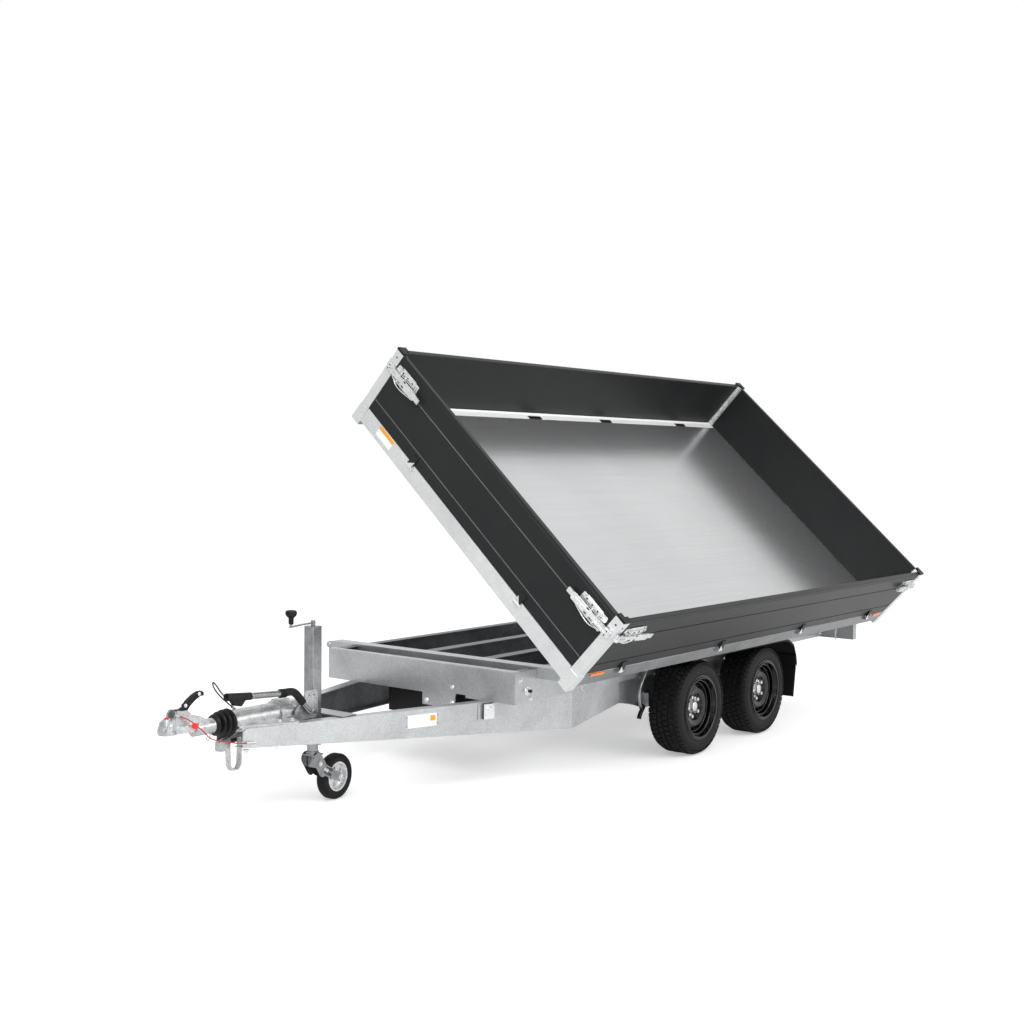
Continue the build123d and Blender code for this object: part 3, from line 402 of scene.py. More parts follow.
def joined(pieces, name):
    # one piece out of several, each corner where it was
    selectOnly(pieces[0])
    for piece in pieces:
        piece.select_set(True)
    bpy.ops.object.join()
    pieces[0].name = name
    pieces[0].data.name = name
    return pieces[0]


def applyPlace(piece):
    # the piece's place, turn and size go into its mesh
    selectOnly(piece)
    bpy.ops.object.transform_apply(location=True, rotation=True, scale=True)


def copyOf(model, name):
    # a copy with its own mesh
    copy = model.copy()
    copy.data = model.data.copy()
    copy.name = name
    bpy.context.scene.collection.objects.link(copy)
    return copy


def discard(*models):
    # a model goes once its copies stand
    for model in models:
        bpy.data.objects.remove(model)


def aimed(piece, axis, way, place):
    # the piece's axis turned along a way, its origin on a place
    piece.rotation_mode = "QUATERNION"
    piece.rotation_quaternion = Vector(axis).rotation_difference(Vector(way))
    piece.location = place
    return piece


def pickBy(kind):
    bpy.context.tool_settings.mesh_select_mode = [kind == choice for choice in ("VERT", "EDGE", "FACE")]


def selectAll():
    # goes into edit mode with the whole mesh selected
    bpy.ops.object.mode_set(mode="EDIT")
    bpy.ops.mesh.select_all(action="SELECT")


def selectParts(piece, kind, test):
    # leaves the piece in edit mode with the corners, edges or faces that pass the test selected
    selectOnly(piece)
    pickBy(kind)
    bpy.ops.object.mode_set(mode="EDIT")
    bpy.ops.mesh.select_all(action="DESELECT")
    bpy.ops.object.mode_set(mode="OBJECT")
    for part in {"VERT": piece.data.vertices, "EDGE": piece.data.edges, "FACE": piece.data.polygons}[kind]:
        part.select = test(part)
    bpy.ops.object.mode_set(mode="EDIT")


def bevelEdges(piece, test, offset, segments):
    # the test is given the two ends of each edge
    selectParts(piece, "EDGE", lambda edge: test(*(piece.data.vertices[end].co for end in edge.vertices)))
    bpy.ops.mesh.bevel(offset=offset, segments=segments, affect="EDGES")
    bpy.ops.object.mode_set(mode="OBJECT")


def faceOutwards(piece):
    selectOnly(piece)
    selectAll()
    bpy.ops.mesh.normals_make_consistent(inside=False)
    bpy.ops.object.mode_set(mode="OBJECT")


def drawn(name, line, start=None):
    # one corner led from point to point; the edges it leaves behind stay selected in edit mode
    selectOnly(None)
    pickBy("VERT")
    bpy.ops.mesh.primitive_plane_add(size=0.01, location=(0, 0, 0))
    piece = bpy.context.object
    piece.name = name
    selectAll()
    bpy.ops.mesh.merge(type="CENTER")
    bpy.ops.transform.translate(value=line[0] if start is None else start)
    for before, after in zip(line, line[1:]):
        bpy.ops.mesh.extrude_region_move(TRANSFORM_OT_translate={"value": [b - a for a, b in zip(before, after)]})
    bpy.ops.mesh.select_all(action="SELECT")
    return piece


def spun(name, profile, steps, closed=False):
    # a profile (radius, place along Y) spun about the axle; an open one starts and ends on the axle's line
    line = [(radius, along, 0) for radius, along in profile]
    piece = drawn(name, line + line[:1] if closed else line)
    if closed:
        bpy.ops.mesh.remove_doubles(threshold=0.00005)
        bpy.ops.mesh.select_all(action="SELECT")
    bpy.ops.mesh.spin(steps=steps, angle=2 * pi, center=(0, 0, 0), axis=(0, 1, 0))
    bpy.ops.mesh.select_all(action="SELECT")
    bpy.ops.mesh.remove_doubles(threshold=0.00002)
    bpy.ops.mesh.normals_make_consistent(inside=False)
    bpy.ops.object.mode_set(mode="OBJECT")
    if not closed:
        bpy.ops.object.shade_smooth_by_angle(angle=radians(40))
    return piece


# Road tyre: a carcass with four ribs of tread blocks and a row of lugs on each shoulder
tyreLook = dict(outer=0.2625, width=0.195, seat=0.171, groove=0.008, steps=96, pitches=52,
                ribs=(-0.052, -0.018, 0.018, 0.052), ribWidth=0.029, blockShare=0.84, blockTall=0.0096,
                blockSunk=0.0062, lean=0.005, stepShare=0.4, blockEdge=0.0012,
                shoulder=0.083, lugShare=0.80, lugWide=0.021, lugTall=0.018, lugSunk=0.013, lugDrop=0.010)


def makeTyre(name):
    half = tyreLook["width"] / 2
    outer = tyreLook["outer"]
    base = outer - tyreLook["groove"]
    seat = tyreLook["seat"]
    profile = [(seat, -half + 0.014), (seat + 0.012, -half + 0.004), (seat + 0.030, -half + 0.001),
               (seat + 0.048, -half), (outer - 0.030, -half + 0.004), (outer - 0.016, -half + 0.012),
               (base, -half + 0.024), (base, half - 0.024), (outer - 0.016, half - 0.012),
               (outer - 0.030, half - 0.004), (seat + 0.048, half), (seat + 0.030, half - 0.001),
               (seat + 0.012, half - 0.004), (seat, half - 0.014)]
    body = spun(name, profile, tyreLook["steps"], closed=True)
    pitch = 2 * pi / tyreLook["pitches"]
    blocks = []
    for number, rib in enumerate(tyreLook["ribs"]):
        selectOnly(None)
        length = outer * pitch * tyreLook["blockShare"]
        bpy.ops.mesh.primitive_cube_add(size=1, location=(0, rib, outer - tyreLook["blockSunk"]),
                                        scale=(length, tyreLook["ribWidth"], tyreLook["blockTall"]))
        cleat = bpy.context.object
        bpy.ops.object.transform_apply(location=False, rotation=False, scale=True)
        selectAll()
        # blocks of neighbouring ribs lean and step against each other
        bpy.ops.mesh.subdivide(number_cuts=1)
        bpy.ops.object.mode_set(mode="OBJECT")
        odd = number % 2
        lean = tyreLook["lean"] if odd else -tyreLook["lean"]
        for vertex in cleat.data.vertices:
            outwards = abs(vertex.co.y) / (tyreLook["ribWidth"] / 2)
            vertex.co.x += lean * outwards + odd * length * tyreLook["stepShare"]
        blocks.append(cleat)
    for side in (-1, 1):
        selectOnly(None)
        bpy.ops.mesh.primitive_cube_add(
            size=1, location=(0, side * tyreLook["shoulder"], outer - tyreLook["lugSunk"]),
            scale=(outer * pitch * tyreLook["lugShare"], tyreLook["lugWide"], tyreLook["lugTall"]))
        lug = bpy.context.object
        bpy.ops.object.transform_apply(location=False, rotation=False, scale=True)
        for vertex in lug.data.vertices:
            if vertex.co.z > 0 and vertex.co.y * side > 0:
                vertex.co.z -= tyreLook["lugDrop"]
        blocks.append(lug)
    tread = joined(blocks, name + "_tread")
    applyPlace(tread)
    bpy.ops.object.empty_add(location=(0, 0, 0), rotation=(0, pitch, 0))
    turner = bpy.context.object
    selectOnly(tread)
    bevel = tread.modifiers.new("edges", "BEVEL")
    bevel.width, bevel.segments = tyreLook["blockEdge"], 1
    around = tread.modifiers.new("around", "ARRAY")
    around.use_relative_offset = False
    around.use_object_offset = True
    around.offset_object = turner
    around.count = tyreLook["pitches"]
    bpy.ops.object.modifier_apply(modifier="edges")
    bpy.ops.object.modifier_apply(modifier="around")
    bpy.data.objects.remove(turner)
    tyre = joined([body, tread], name)
    selectOnly(tyre)
    bpy.ops.object.shade_smooth_by_angle(angle=radians(35))
    return tyre


# The wheels: the middle of each, and which way its outer side faces
wheels = {}
for end in ("front", "rear"):
    for side, out in (("left", 1), ("right", -1)):
        low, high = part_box("tyre_" + end + "_" + side)
        wheels[end + "_" + side] = ((low + high) / 2, out)
tyreModel = makeTyre("tyre_model")
for where, (middle, out) in wheels.items():
    tyre = copyOf(tyreModel, "road_tyre_" + where)
    tyre.location = middle
    placed(tyre, "wheel_" + where, "tyreRubber")
    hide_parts("tyre_" + where)
discard(tyreModel)
print("tyres done")


def block(name, middle, size):
    # the plain start of a plate or a bar
    selectOnly(None)
    bpy.ops.mesh.primitive_cube_add(size=1, location=middle, scale=size)
    piece = bpy.context.object
    piece.name = name
    bpy.ops.object.transform_apply(location=True, rotation=False, scale=True)
    return piece


def roundedPlate(name, width, height, thick, corner, edge=0.0004):
    # a thin plate in X and Y with its corners rounded and its rim broken
    plate = block(name, (0, 0, thick / 2), (width, height, thick))
    bevelEdges(plate, lambda a, b: abs(a.x - b.x) + abs(a.y - b.y) < touch, corner, 4)
    bevelEdges(plate, lambda a, b: min(a.z, b.z) > thick - touch, min(edge, thick / 2), 1)
    return plate


def boxPart(name, low, high, edge=0.0008):
    # a bar from one corner to the other with all its edges broken
    piece = block(name, [(a + b) / 2 for a, b in zip(low, high)], [b - a for a, b in zip(low, high)])
    bevelEdges(piece, lambda a, b: True, edge, 2)
    return piece


def bent(name, points, radius, steps=10):
    # a round rod along a smooth line, turned into a closed mesh
    selectOnly(None)
    bpy.ops.curve.primitive_nurbs_path_add(location=(0, 0, 0))
    rod = bpy.context.object
    rod.name = name
    rod.data.splines.clear()
    line = rod.data.splines.new("NURBS")
    line.points.add(len(points) - 1)
    for knot, point in zip(line.points, points):
        knot.co = (*point, 1.0)
    line.order_u = 3
    line.use_endpoint_u = True
    line.resolution_u = steps
    rod.data.dimensions = "3D"
    rod.data.bevel_depth = radius
    rod.data.bevel_resolution = 3
    rod.data.use_fill_caps = True
    bpy.ops.object.convert(target="MESH")
    selectOnly(rod)
    selectAll()
    bpy.ops.mesh.remove_doubles(threshold=0.00002)
    bpy.ops.mesh.normals_make_consistent(inside=False)
    bpy.ops.object.mode_set(mode="OBJECT")
    bpy.ops.object.shade_smooth_by_angle(angle=radians(50))
    return rod


def scattered(source, spots, name, body, finish, axis=(0, 0, 1)):
    # copies of one model, each with its own mesh, its axis turned along each spot's way
    copies = [aimed(copyOf(source, name), axis, way, place) for place, way in spots]
    discard(source)
    return placed(joined(copies, name), body, finish)


def hexBolt(name, across, height, washer):
    # a head over a washer, the upper rim of each broken, standing on its seat at the origin
    pieces = []
    for sides, radius, foot, tall, rim, cuts in ((6, across / 3 ** 0.5, washer, height, across * 0.12, 2),
                                                 (24, across * 0.92, 0, washer, washer * 0.4, 1)):
        selectOnly(None)
        bpy.ops.mesh.primitive_cylinder_add(vertices=sides, radius=radius, depth=tall,
                                            location=(0, 0, foot + tall / 2))
        piece = bpy.context.object
        bpy.ops.object.transform_apply(location=True, rotation=False, scale=True)
        bevelEdges(piece, lambda a, b: min(a.z, b.z) > foot + tall - touch, rim, cuts)
        pieces.append(piece)
    return joined(pieces, name)


# Wheel nuts, hub caps and valves
hubLook = dict(nuts=5, nutCircle=0.056, nutSeat=0.784, nutAcross=0.019, nutHeight=0.015, nutWasher=0.003,
               firstNut=0.35, capSeat=0.8055, capRadius=0.0305, valve=(0.118, 0.800, 0.085))
nutModel = hexBolt("nut", hubLook["nutAcross"], hubLook["nutHeight"], hubLook["nutWasher"])
r = hubLook["capRadius"]
capModel = spun("cap", [(0, 0.004), (r * 0.6, 0.0035), (r * 0.88, 0.001), (r, -0.004), (r + 0.001, -0.017),
                        (r + 0.004, -0.0205), (0, -0.0205)], 40)
stemModel = spun("stem", [(0, 0.030), (0.003, 0.029), (0.0038, 0.018), (0.0052, 0.014), (0.0062, 0.0),
                          (0, 0.0)], 14)
for where, (middle, out) in wheels.items():
    facing = (0, 0, 0 if out > 0 else pi)
    spots = []
    for number in range(hubLook["nuts"]):
        angle = 2 * pi * number / hubLook["nuts"] + hubLook["firstNut"]
        spots.append(((middle.x + hubLook["nutCircle"] * sin(angle), out * hubLook["nutSeat"],
                       middle.z + hubLook["nutCircle"] * cos(angle)), (0, out, 0)))
    scattered(copyOf(nutModel, "nut"), spots, "wheel_nuts_" + where, "wheel_" + where, "brightZinc")
    cap = copyOf(capModel, "hub_cap_" + where)
    cap.rotation_euler = facing
    cap.location = (middle.x, out * hubLook["capSeat"], middle.z)
    placed(cap, "wheel_" + where, "brightZinc")
    stem = copyOf(stemModel, "valve_" + where)
    stem.rotation_euler = facing
    ahead, reach, above = hubLook["valve"]
    stem.location = (middle.x + ahead, out * reach, middle.z + above)
    placed(stem, "wheel_" + where, "blackPlasticAndShade")
discard(nutModel, capModel, stemModel)
print("hubs done")

# Bolt heads of the chassis: place from the ground, way out
chassisBolts = [
    ((2.734, 0.125, 0.453), (0, 0, 1)), ((2.734, -0.125, 0.453), (0, 0, 1)),
    ((2.794, 0.110, 0.453), (0, 0, 1)), ((2.794, -0.110, 0.453), (0, 0, 1)),
    ((1.762, 0.235, 0.488), (1, 0, 0)), ((1.762, 0.068, 0.406), (1, 0, 0)), ((1.762, 0.235, 0.410), (1, 0, 0)),
    ((1.720, 0.628, 0.560), (0, 1, 0)), ((1.637, 0.628, 0.462), (0, 1, 0)),
    ((1.720, -0.628, 0.560), (0, -1, 0)), ((-1.640, 0.628, 0.520), (0, 1, 0)), ((-1.640, -0.628, 0.520), (0, -1, 0)),
    ((-1.640, 0.628, 0.470), (0, 1, 0)), ((-1.640, -0.628, 0.470), (0, -1, 0)),
    ((1.7759, 0.4840, 0.412), (0.2963, 0.9551, 0)), ((1.7759, -0.4840, 0.412), (0.2963, -0.9551, 0)),
]
# sizes: across flats, height of the head, thickness of the washer
boltLook = dict(chassis=(0.015, 0.008, 0.002), axle=(0.019, 0.010, 0.003), axlesAt=(0.496, -0.266),
                aside=0.5810, height=0.439, spread=0.075)
spots = [(fromGround(*place), way) for place, way in chassisBolts]
scattered(hexBolt("bolt", *boltLook["chassis"]), spots, "chassis_bolts", "chassis", "brightZinc")
spots = [(fromGround(axle + step * boltLook["spread"], side * boltLook["aside"], boltLook["height"]), (0, 0, -1))
         for axle in boltLook["axlesAt"] for side in (-1, 1) for step in (-1, 1)]
scattered(hexBolt("bolt", *boltLook["axle"]), spots, "axle_bolts", "chassis", "zincPlate")

# The left drawbar beam runs straight from its tail to its nose; it carries a blank plate and a folded clip
beamLook = dict(nose=(2.985, 0.088), tail=(1.270, 0.620))
beamPlate = dict(middle=(2.121, 0.356, 0.390), width=0.158, height=0.060, thick=0.0008, rivetsAt=(0.086, 0.021),
                 field=(0.030, 0.026), fieldAt=(-0.058, 0.008))
clipLook = dict(middle=(1.770, 0.4649, 0.410), half=0.031, fold=(0.0015, 0.0195), face=(0.0195, 0.022))
beamRun = beamLook["nose"][0] - beamLook["tail"][0]
beamWay = Vector((beamRun, beamLook["nose"][1] - beamLook["tail"][1], 0)).normalized()
beamOut = Vector((-beamWay.y, beamWay.x, 0))


def onBeam(along, up):
    # a place on the beam's outer face, metres from the plate's middle
    x = beamPlate["middle"][0] + along * beamWay.x
    y = beamLook["nose"][1] + (beamLook["nose"][0] - x) * (beamLook["tail"][1] - beamLook["nose"][1]) / beamRun
    return fromGround(x, y, beamPlate["middle"][2] + up)


def isClip(centre, limits):
    # the clip's faces between two distances out of the beam
    offset = centre - fromGround(*clipLook["middle"])
    return abs(offset.dot(beamWay)) < clipLook["half"] and within(offset.dot(beamOut), limits)


# the clip is painted on the beam's faces: its folded sides dark as painted shade, its face in pale bed zinc
paintFaces("drawbar_beam_left", "paintedShadeZinc", lambda centre: isClip(centre, clipLook["fold"]))
paintFaces("drawbar_beam_left", "bedZinc", lambda centre: isClip(centre, clipLook["face"]))


def faceMatrix(across, up, place):
    # a frame whose X runs across, Y up and Z out of the face
    out = across.cross(up)
    return Matrix.Translation(place) @ Matrix((across, up, out)).transposed().to_4x4()


plate = roundedPlate("beam_plate", beamPlate["width"], beamPlate["height"], beamPlate["thick"], 0.003)
plate.matrix_world = faceMatrix(-beamWay, Vector((0, 0, 1)), onBeam(0, 0))
placed(plate, "chassis", "labelWhite")
patch = roundedPlate("beam_plate_field", *beamPlate["field"], 0.0004, 0.003, 0.0001)
patch.matrix_world = faceMatrix(-beamWay, Vector((0, 0, 1)),
                                onBeam(*beamPlate["fieldAt"]) + beamOut * beamPlate["thick"])
placed(patch, "chassis", "labelAmber")
rivet = spun("rivet", [(0, 0.0022), (0.0022, 0.0018), (0.0038, 0.0), (0, 0.0)], 14)
alongRivet, upRivet = beamPlate["rivetsAt"]
rivets = [(onBeam(along, up), beamOut) for along in (-alongRivet, alongRivet) for up in (-upRivet, upRivet)]
scattered(rivet, rivets, "plate_rivets", "chassis", "zincPlate", axis=(0, 1, 0))

# Blank label on the bed's front rail: an amber band over a white field
railLabel = dict(face=1.805, middle=-0.695, height=-0.034, width=0.125,
                 fields=(("rail_label_white", "labelWhite", -0.0095, 0.035),
                         ("rail_label_amber", "labelAmber", 0.0180, 0.019)))
for name, finish, rise, tall in railLabel["fields"]:
    field = roundedPlate(name, railLabel["width"], tall, 0.0006, 0.002, 0.0002)
    middle = Vector((railLabel["face"], railLabel["middle"], railLabel["height"] + rise))
    field.matrix_world = bedPlace @ faceMatrix(Vector((0, 1, 0)), Vector((0, 0, 1)), middle)
    placed(field, "bed", finish)

# Pale strip along the boards' foot, folded up a little at its outer edge; its near-white colour is a painted
# highlight
bothSides = ((-1, "right"), (1, "left"))
stripLook = dict(reach=1.7700, inner=0.8620, outer=0.9070, thick=0.0014, lipTall=0.0090)
reach, outer = stripLook["reach"], stripLook["outer"]
flange = boxPart("strip", (-reach, stripLook["inner"], 0.0), (reach, outer, stripLook["thick"]), 0.0005)
riser = boxPart("riser", (-reach, outer - stripLook["thick"], 0.0), (reach, outer, stripLook["lipTall"]), 0.0005)
stripModel = joined([flange, riser], "strip_model")
for side, sideName in bothSides:
    strip = copyOf(stripModel, "floor_strip_" + sideName)
    strip.matrix_world = bedPlace @ Matrix.Rotation(0 if side > 0 else pi, 4, "Z")
    placed(strip, "bed", "lipHighlightZinc")
discard(stripModel)

# Lashing recesses along the floor's edges: a black pan let into the rail's top, its colour painted shade inside the
# recess
recessLook = dict(along=(-1.311, -0.381, 0.381, 1.311), out=0.8735, foot=0.0004, length=0.126, width=0.025,
                  tall=0.0030, corner=0.005, rim=0.003, deep=0.0010)
panModel = roundedPlate("pan", recessLook["length"], recessLook["width"], recessLook["tall"], recessLook["corner"])
selectParts(panModel, "FACE", lambda face: face.normal.z > 0.9)
bpy.ops.mesh.inset(thickness=recessLook["rim"], depth=-recessLook["deep"])
bpy.ops.object.mode_set(mode="OBJECT")
for side, sideName in bothSides:
    pans = []
    for along in recessLook["along"]:
        pan = copyOf(panModel, "pan")
        pan.matrix_world = bedPlace @ Matrix.Translation((along, side * recessLook["out"], recessLook["foot"]))
        pans.append(pan)
    placed(joined(pans, "lashing_recess_shade_" + sideName), "bed", "blackPlasticAndShade")
discard(panModel)

# Small countersunk rivets that hold the floor down: a row along each side and one along each end
rivetRows = dict(sideCount=15, sideReach=1.70, sideOut=0.878, endCount=7, endReach=0.80, endOut=1.758)
rivetSpots = []
for step in range(rivetRows["sideCount"]):
    along = 2 * step * rivetRows["sideReach"] / (rivetRows["sideCount"] - 1) - rivetRows["sideReach"]
    rivetSpots += [(along, side * rivetRows["sideOut"]) for side in (-1, 1)]
for step in range(rivetRows["endCount"]):
    aside = 2 * step * rivetRows["endReach"] / (rivetRows["endCount"] - 1) - rivetRows["endReach"]
    rivetSpots += [(end * rivetRows["endOut"], aside) for end in (-1, 1)]
floorRivets = [(onBed(x, y, 0), bedTurned((0, 0, 1))) for x, y in rivetSpots]
head = spun("rivet", [(0, 0.0012), (0.0028, 0.0010), (0.0042, 0.0), (0, 0.0)], 12)
scattered(head, floorRivets, "floor_rivets", "bed", "zincPlate", axis=(0, 1, 0))
print("plates, bolts and rivets done")

# Pull rings of the lock pins with a short chain, hanging straight down in this pose
pinLook = dict(ring=0.0215, wire=0.0024, link=0.0042, stretch=0.0030, linkWire=0.0014, links=6,
               top=0.553, low=0.503, chainEnd=0.450, out=0.820, ringAt=1.468, chainAt=1.459, chainLean=0.007,
               firstLink=0.004, linkTurn=0.2, ringLean=radians(20), ringTurn=radians(12),
               tail=((1.540, 0.5615), (1.490, 0.5615), (1.474, 0.5600), (1.466, 0.5520)), tailOut=0.8155,
               tailRadius=0.0045)


def stretchedRing(name, radius, wire, stretch, points):
    # a ring in the X and Z plane, its two halves moved apart along Z
    selectOnly(None)
    bpy.ops.mesh.primitive_torus_add(major_radius=radius, minor_radius=wire, major_segments=points,
                                     minor_segments=8, rotation=(pi / 2, 0, 0))
    ring = bpy.context.object
    ring.name = name
    bpy.ops.object.transform_apply(location=False, rotation=True, scale=False)
    for half in (-1, 1):
        selectParts(ring, "VERT", lambda corner: corner.co.z * half > 0.00001)
        bpy.ops.transform.translate(value=(0, 0, half * stretch))
        bpy.ops.object.mode_set(mode="OBJECT")
    bpy.ops.object.shade_smooth()
    return ring


pullModel = stretchedRing("pull", pinLook["ring"], pinLook["wire"], pinLook["stretch"], 28)
linkModel = stretchedRing("link", pinLook["link"], pinLook["linkWire"], pinLook["stretch"], 14)
for end, along in (("front", 1.0), ("rear", -1.0)):
    pull = copyOf(pullModel, "pull")
    pull.location = fromGround(along * pinLook["ringAt"], pinLook["out"], (pinLook["top"] + pinLook["low"]) / 2)
    pull.rotation_euler = (0, along * pinLook["ringLean"], pinLook["ringTurn"])
    tail = groundLine([(along * x, pinLook["tailOut"], z) for x, z in pinLook["tail"]])
    pieces = [pull, bent("tail", tail, pinLook["tailRadius"])]
    for number in range(pinLook["links"]):
        share = (number + 0.5) / pinLook["links"]
        link = copyOf(linkModel, "link")
        drop = share * (pinLook["low"] - pinLook["chainEnd"])
        link.location = fromGround(along * (pinLook["chainAt"] + pinLook["chainLean"] * share), pinLook["out"],
                                   pinLook["low"] + pinLook["firstLink"] - drop)
        # every second link is turned a quarter
        link.rotation_euler = (0, 0, pi / 2 * (number % 2) + pinLook["linkTurn"])
        pieces.append(link)
    placed(joined(pieces, "lock_pin_chain_" + end), "bed", "brightZinc")
discard(pullModel, linkModel)
print("lock pins done")

# The two cords follow the route that the part's source gives them
cordLook = {
    "breakaway_cable": dict(diameter=0.005, stiffness="limp", finish="redSheath", slot="red_cable", points=[
        (3.288, 0.038, 0.540), (3.254, 0.058, 0.525), (3.220, 0.062, 0.492), (3.178, 0.063, 0.462),
        (3.156, 0.066, 0.432), (3.112, 0.072, 0.412), (3.060, 0.084, 0.402), (3.014, 0.098, 0.388),
        (2.980, 0.101, 0.386)]),
    "brake_cable": dict(diameter=0.006, stiffness="medium", finish="bootRubber", slot="black_rubber", points=[
        (3.088, 0.0844, 0.6045), (3.105, 0.0833, 0.6186), (3.115, 0.066, 0.650), (3.110, 0.034, 0.664),
        (3.090, 0.014, 0.634), (3.050, 0.006, 0.592), (3.003, -0.002, 0.556), (2.968, -0.007, 0.531)]),
}
for name, look in cordLook.items():
    curve = bpy.data.curves.new("dressed_" + name, "CURVE")
    curve.dimensions = "3D"
    line = curve.splines.new("NURBS")
    line.points.add(len(look["points"]) - 1)
    for knot, point in zip(line.points, groundLine(look["points"])):
        knot.co = (*point, 1.0)
    line.order_u = 3
    line.use_endpoint_u = True
    line.resolution_u = 12
    curve.bevel_depth = look["diameter"] / 2
    curve.bevel_resolution = 4
    curve.use_fill_caps = True
    cord = bpy.data.objects.new("dressed_" + name, curve)
    bpy.context.scene.collection.objects.link(cord)
    curve.materials.append(materials[look["finish"]])
    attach(cord, "chassis")
    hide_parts(name)
print("cords done")

# Coupling: wear indicator, tag and clip on the red cable
indicator = spun("wear_indicator", [(0, 0.004), (0.006, 0.0035), (0.0095, 0.0), (0, 0.0)], 22)
indicator.rotation_euler = (pi / 2, 0, 0)
indicator.location = fromGround(3.328, 0.003, 0.5335)
placed(indicator, "chassis", "redTag")
tag = spun("cable_tag", [(0, 0.002), (0.0115, 0.002), (0.013, 0.001), (0.013, -0.001), (0.0115, -0.002),
                         (0, -0.002)], 26)
tag.rotation_euler = (0, 0, radians(-35))
tag.location = fromGround(3.228, 0.0615, 0.4935)
placed(tag, "chassis", "redTag")
clip = bent("cable_clip", groundLine([
    (3.176, 0.066, 0.448), (3.168, 0.070, 0.462), (3.156, 0.070, 0.458), (3.150, 0.068, 0.438),
    (3.156, 0.066, 0.420), (3.168, 0.064, 0.424), (3.172, 0.065, 0.440)]), 0.0018)
placed(clip, "chassis", "zincPlate")

# Coupling handle: a curved strap with rounded edges and two silver bolts
handleLook = dict(half=0.0095, rim=0.0032, bolts=((3.1600, 0.6140), (3.2330, 0.5735)), boltAcross=0.009,
                  line=[(3.2720, 0.5375), (3.2700, 0.5560), (3.2440, 0.5700), (3.2260, 0.5920), (3.1940, 0.6135),
                        (3.1670, 0.6250), (3.1470, 0.6255), (3.1345, 0.6170), (3.1355, 0.6030), (3.1440, 0.6035),
                        (3.1530, 0.6040), (3.1820, 0.5880), (3.2060, 0.5700), (3.2240, 0.5500), (3.2440, 0.5400),
                        (3.2560, 0.5345)])
handleLine = [(x, 0, z) for x, z in handleLook["line"]]
handle = drawn("strap_handle", handleLine + handleLine[:1],
               fromGround(handleLine[0][0], -handleLook["half"], handleLine[0][2]))
bpy.ops.mesh.remove_doubles(threshold=0.0001)
bpy.ops.mesh.select_all(action="SELECT")
bpy.ops.mesh.edge_face_add()
bpy.ops.mesh.extrude_region_move(TRANSFORM_OT_translate={"value": (0, 2 * handleLook["half"], 0)})
faceOutwards(handle)
rim = handle.modifiers.new("rim", "BEVEL")
rim.width, rim.segments, rim.limit_method, rim.angle_limit = handleLook["rim"], 3, "ANGLE", radians(50)
placed(handle, "chassis", "blackPlasticAndShade")
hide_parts("coupling_handle")
spots = [(fromGround(x, side * handleLook["half"], z), (0, side, 0))
         for x, z in handleLook["bolts"] for side in (-1, 1)]
scattered(hexBolt("handle_bolt", handleLook["boltAcross"], 0.0035, 0.001), spots, "handle_bolts", "chassis",
          "brightZinc")

# Jockey fork: two oval cheeks under a round plate, stepped arms down to the axle, and the bolts
forkLook = dict(pivot=2.488, trail=0.16399, swing=radians(6.30), top=0.2587, axle=0.108, cheek=0.0345,
                nuts=((-0.164, 0.108, 0.017), (-0.013, 0.1975, 0.013), (-0.046, 0.168, 0.010),
                      (-0.062, 0.158, 0.010)), nutSeat=0.0046)
forkPlace = Matrix.Translation(fromGround(forkLook["pivot"], 0, 0)) @ Matrix.Rotation(forkLook["swing"], 4, "Z")


def sidePlate(name, start, end, width, thick, y, corner):
    # a rounded plate in the fork's X and Z, from one place to the other, standing on y
    run = Vector((end[0] - start[0], 0, end[1] - start[1]))
    plate = roundedPlate(name, run.length + width, width, thick, corner)
    along = run.normalized()
    across = Vector((0, 1 if y > 0 else -1, 0)).cross(along)
    middle = Vector(((start[0] + end[0]) / 2, y, (start[1] + end[1]) / 2))
    plate.matrix_world = faceMatrix(along, across, middle)
    return plate


def onFork(pieces, name, finish):
    # pieces built about the fork's pivot, joined and turned to where the fork stands
    whole = joined(pieces, name)
    applyPlace(whole)
    whole.matrix_world = forkPlace
    return placed(whole, "jockey_fork", finish)


forkParts = []
for way in (-1, 1):
    y = way * forkLook["cheek"]
    forkParts += [
        sidePlate("cheek", (0.004, 0.222), (-0.036, 0.164), 0.062, 0.004, y, 0.029),
        sidePlate("boss", (-0.008, 0.205), (-0.018, 0.190), 0.030, 0.0018, y + way * 0.004, 0.014),
        sidePlate("arm_step", (-0.042, 0.168), (-0.076, 0.148), 0.048, 0.005, y - way * 0.0005, 0.010),
        sidePlate("arm", (-0.056, 0.160), (-0.161, 0.1085), 0.038, 0.004, y + way * 0.0005, 0.018),
        sidePlate("arm_rib", (-0.070, 0.153), (-0.134, 0.1205), 0.010, 0.003, y + way * 0.0040, 0.004),
    ]
nutModels = [hexBolt("nut", across, across * 0.42, 0.0015) for _, _, across in forkLook["nuts"]]
forkNuts = []
for way in (-1, 1):
    for model, (x, z, _) in zip(nutModels, forkLook["nuts"]):
        seat = (x, way * (forkLook["cheek"] + forkLook["nutSeat"]), z)
        forkNuts.append(aimed(copyOf(model, "fork_nut"), (0, 0, 1), (0, way, 0), seat))
discard(*nutModels)
web = boxPart("web", (-0.020, -0.0340, 0.176), (-0.004, 0.0340, 0.246), 0.004)
head = spun("fork_head", [(0, 0.0), (0.026, 0.0), (0.030, -0.002), (0.030, -0.008), (0.034, -0.0095),
                          (0.034, -0.0135), (0, -0.0135)], 36)
head.rotation_euler = (pi / 2, 0, 0)
head.location = (0, 0, forkLook["top"])
axle = spun("fork_axle", [(0, 0.040), (0.0065, 0.040), (0.0065, -0.040), (0, -0.040)], 20)
axle.location = (-forkLook["trail"], 0, forkLook["axle"])
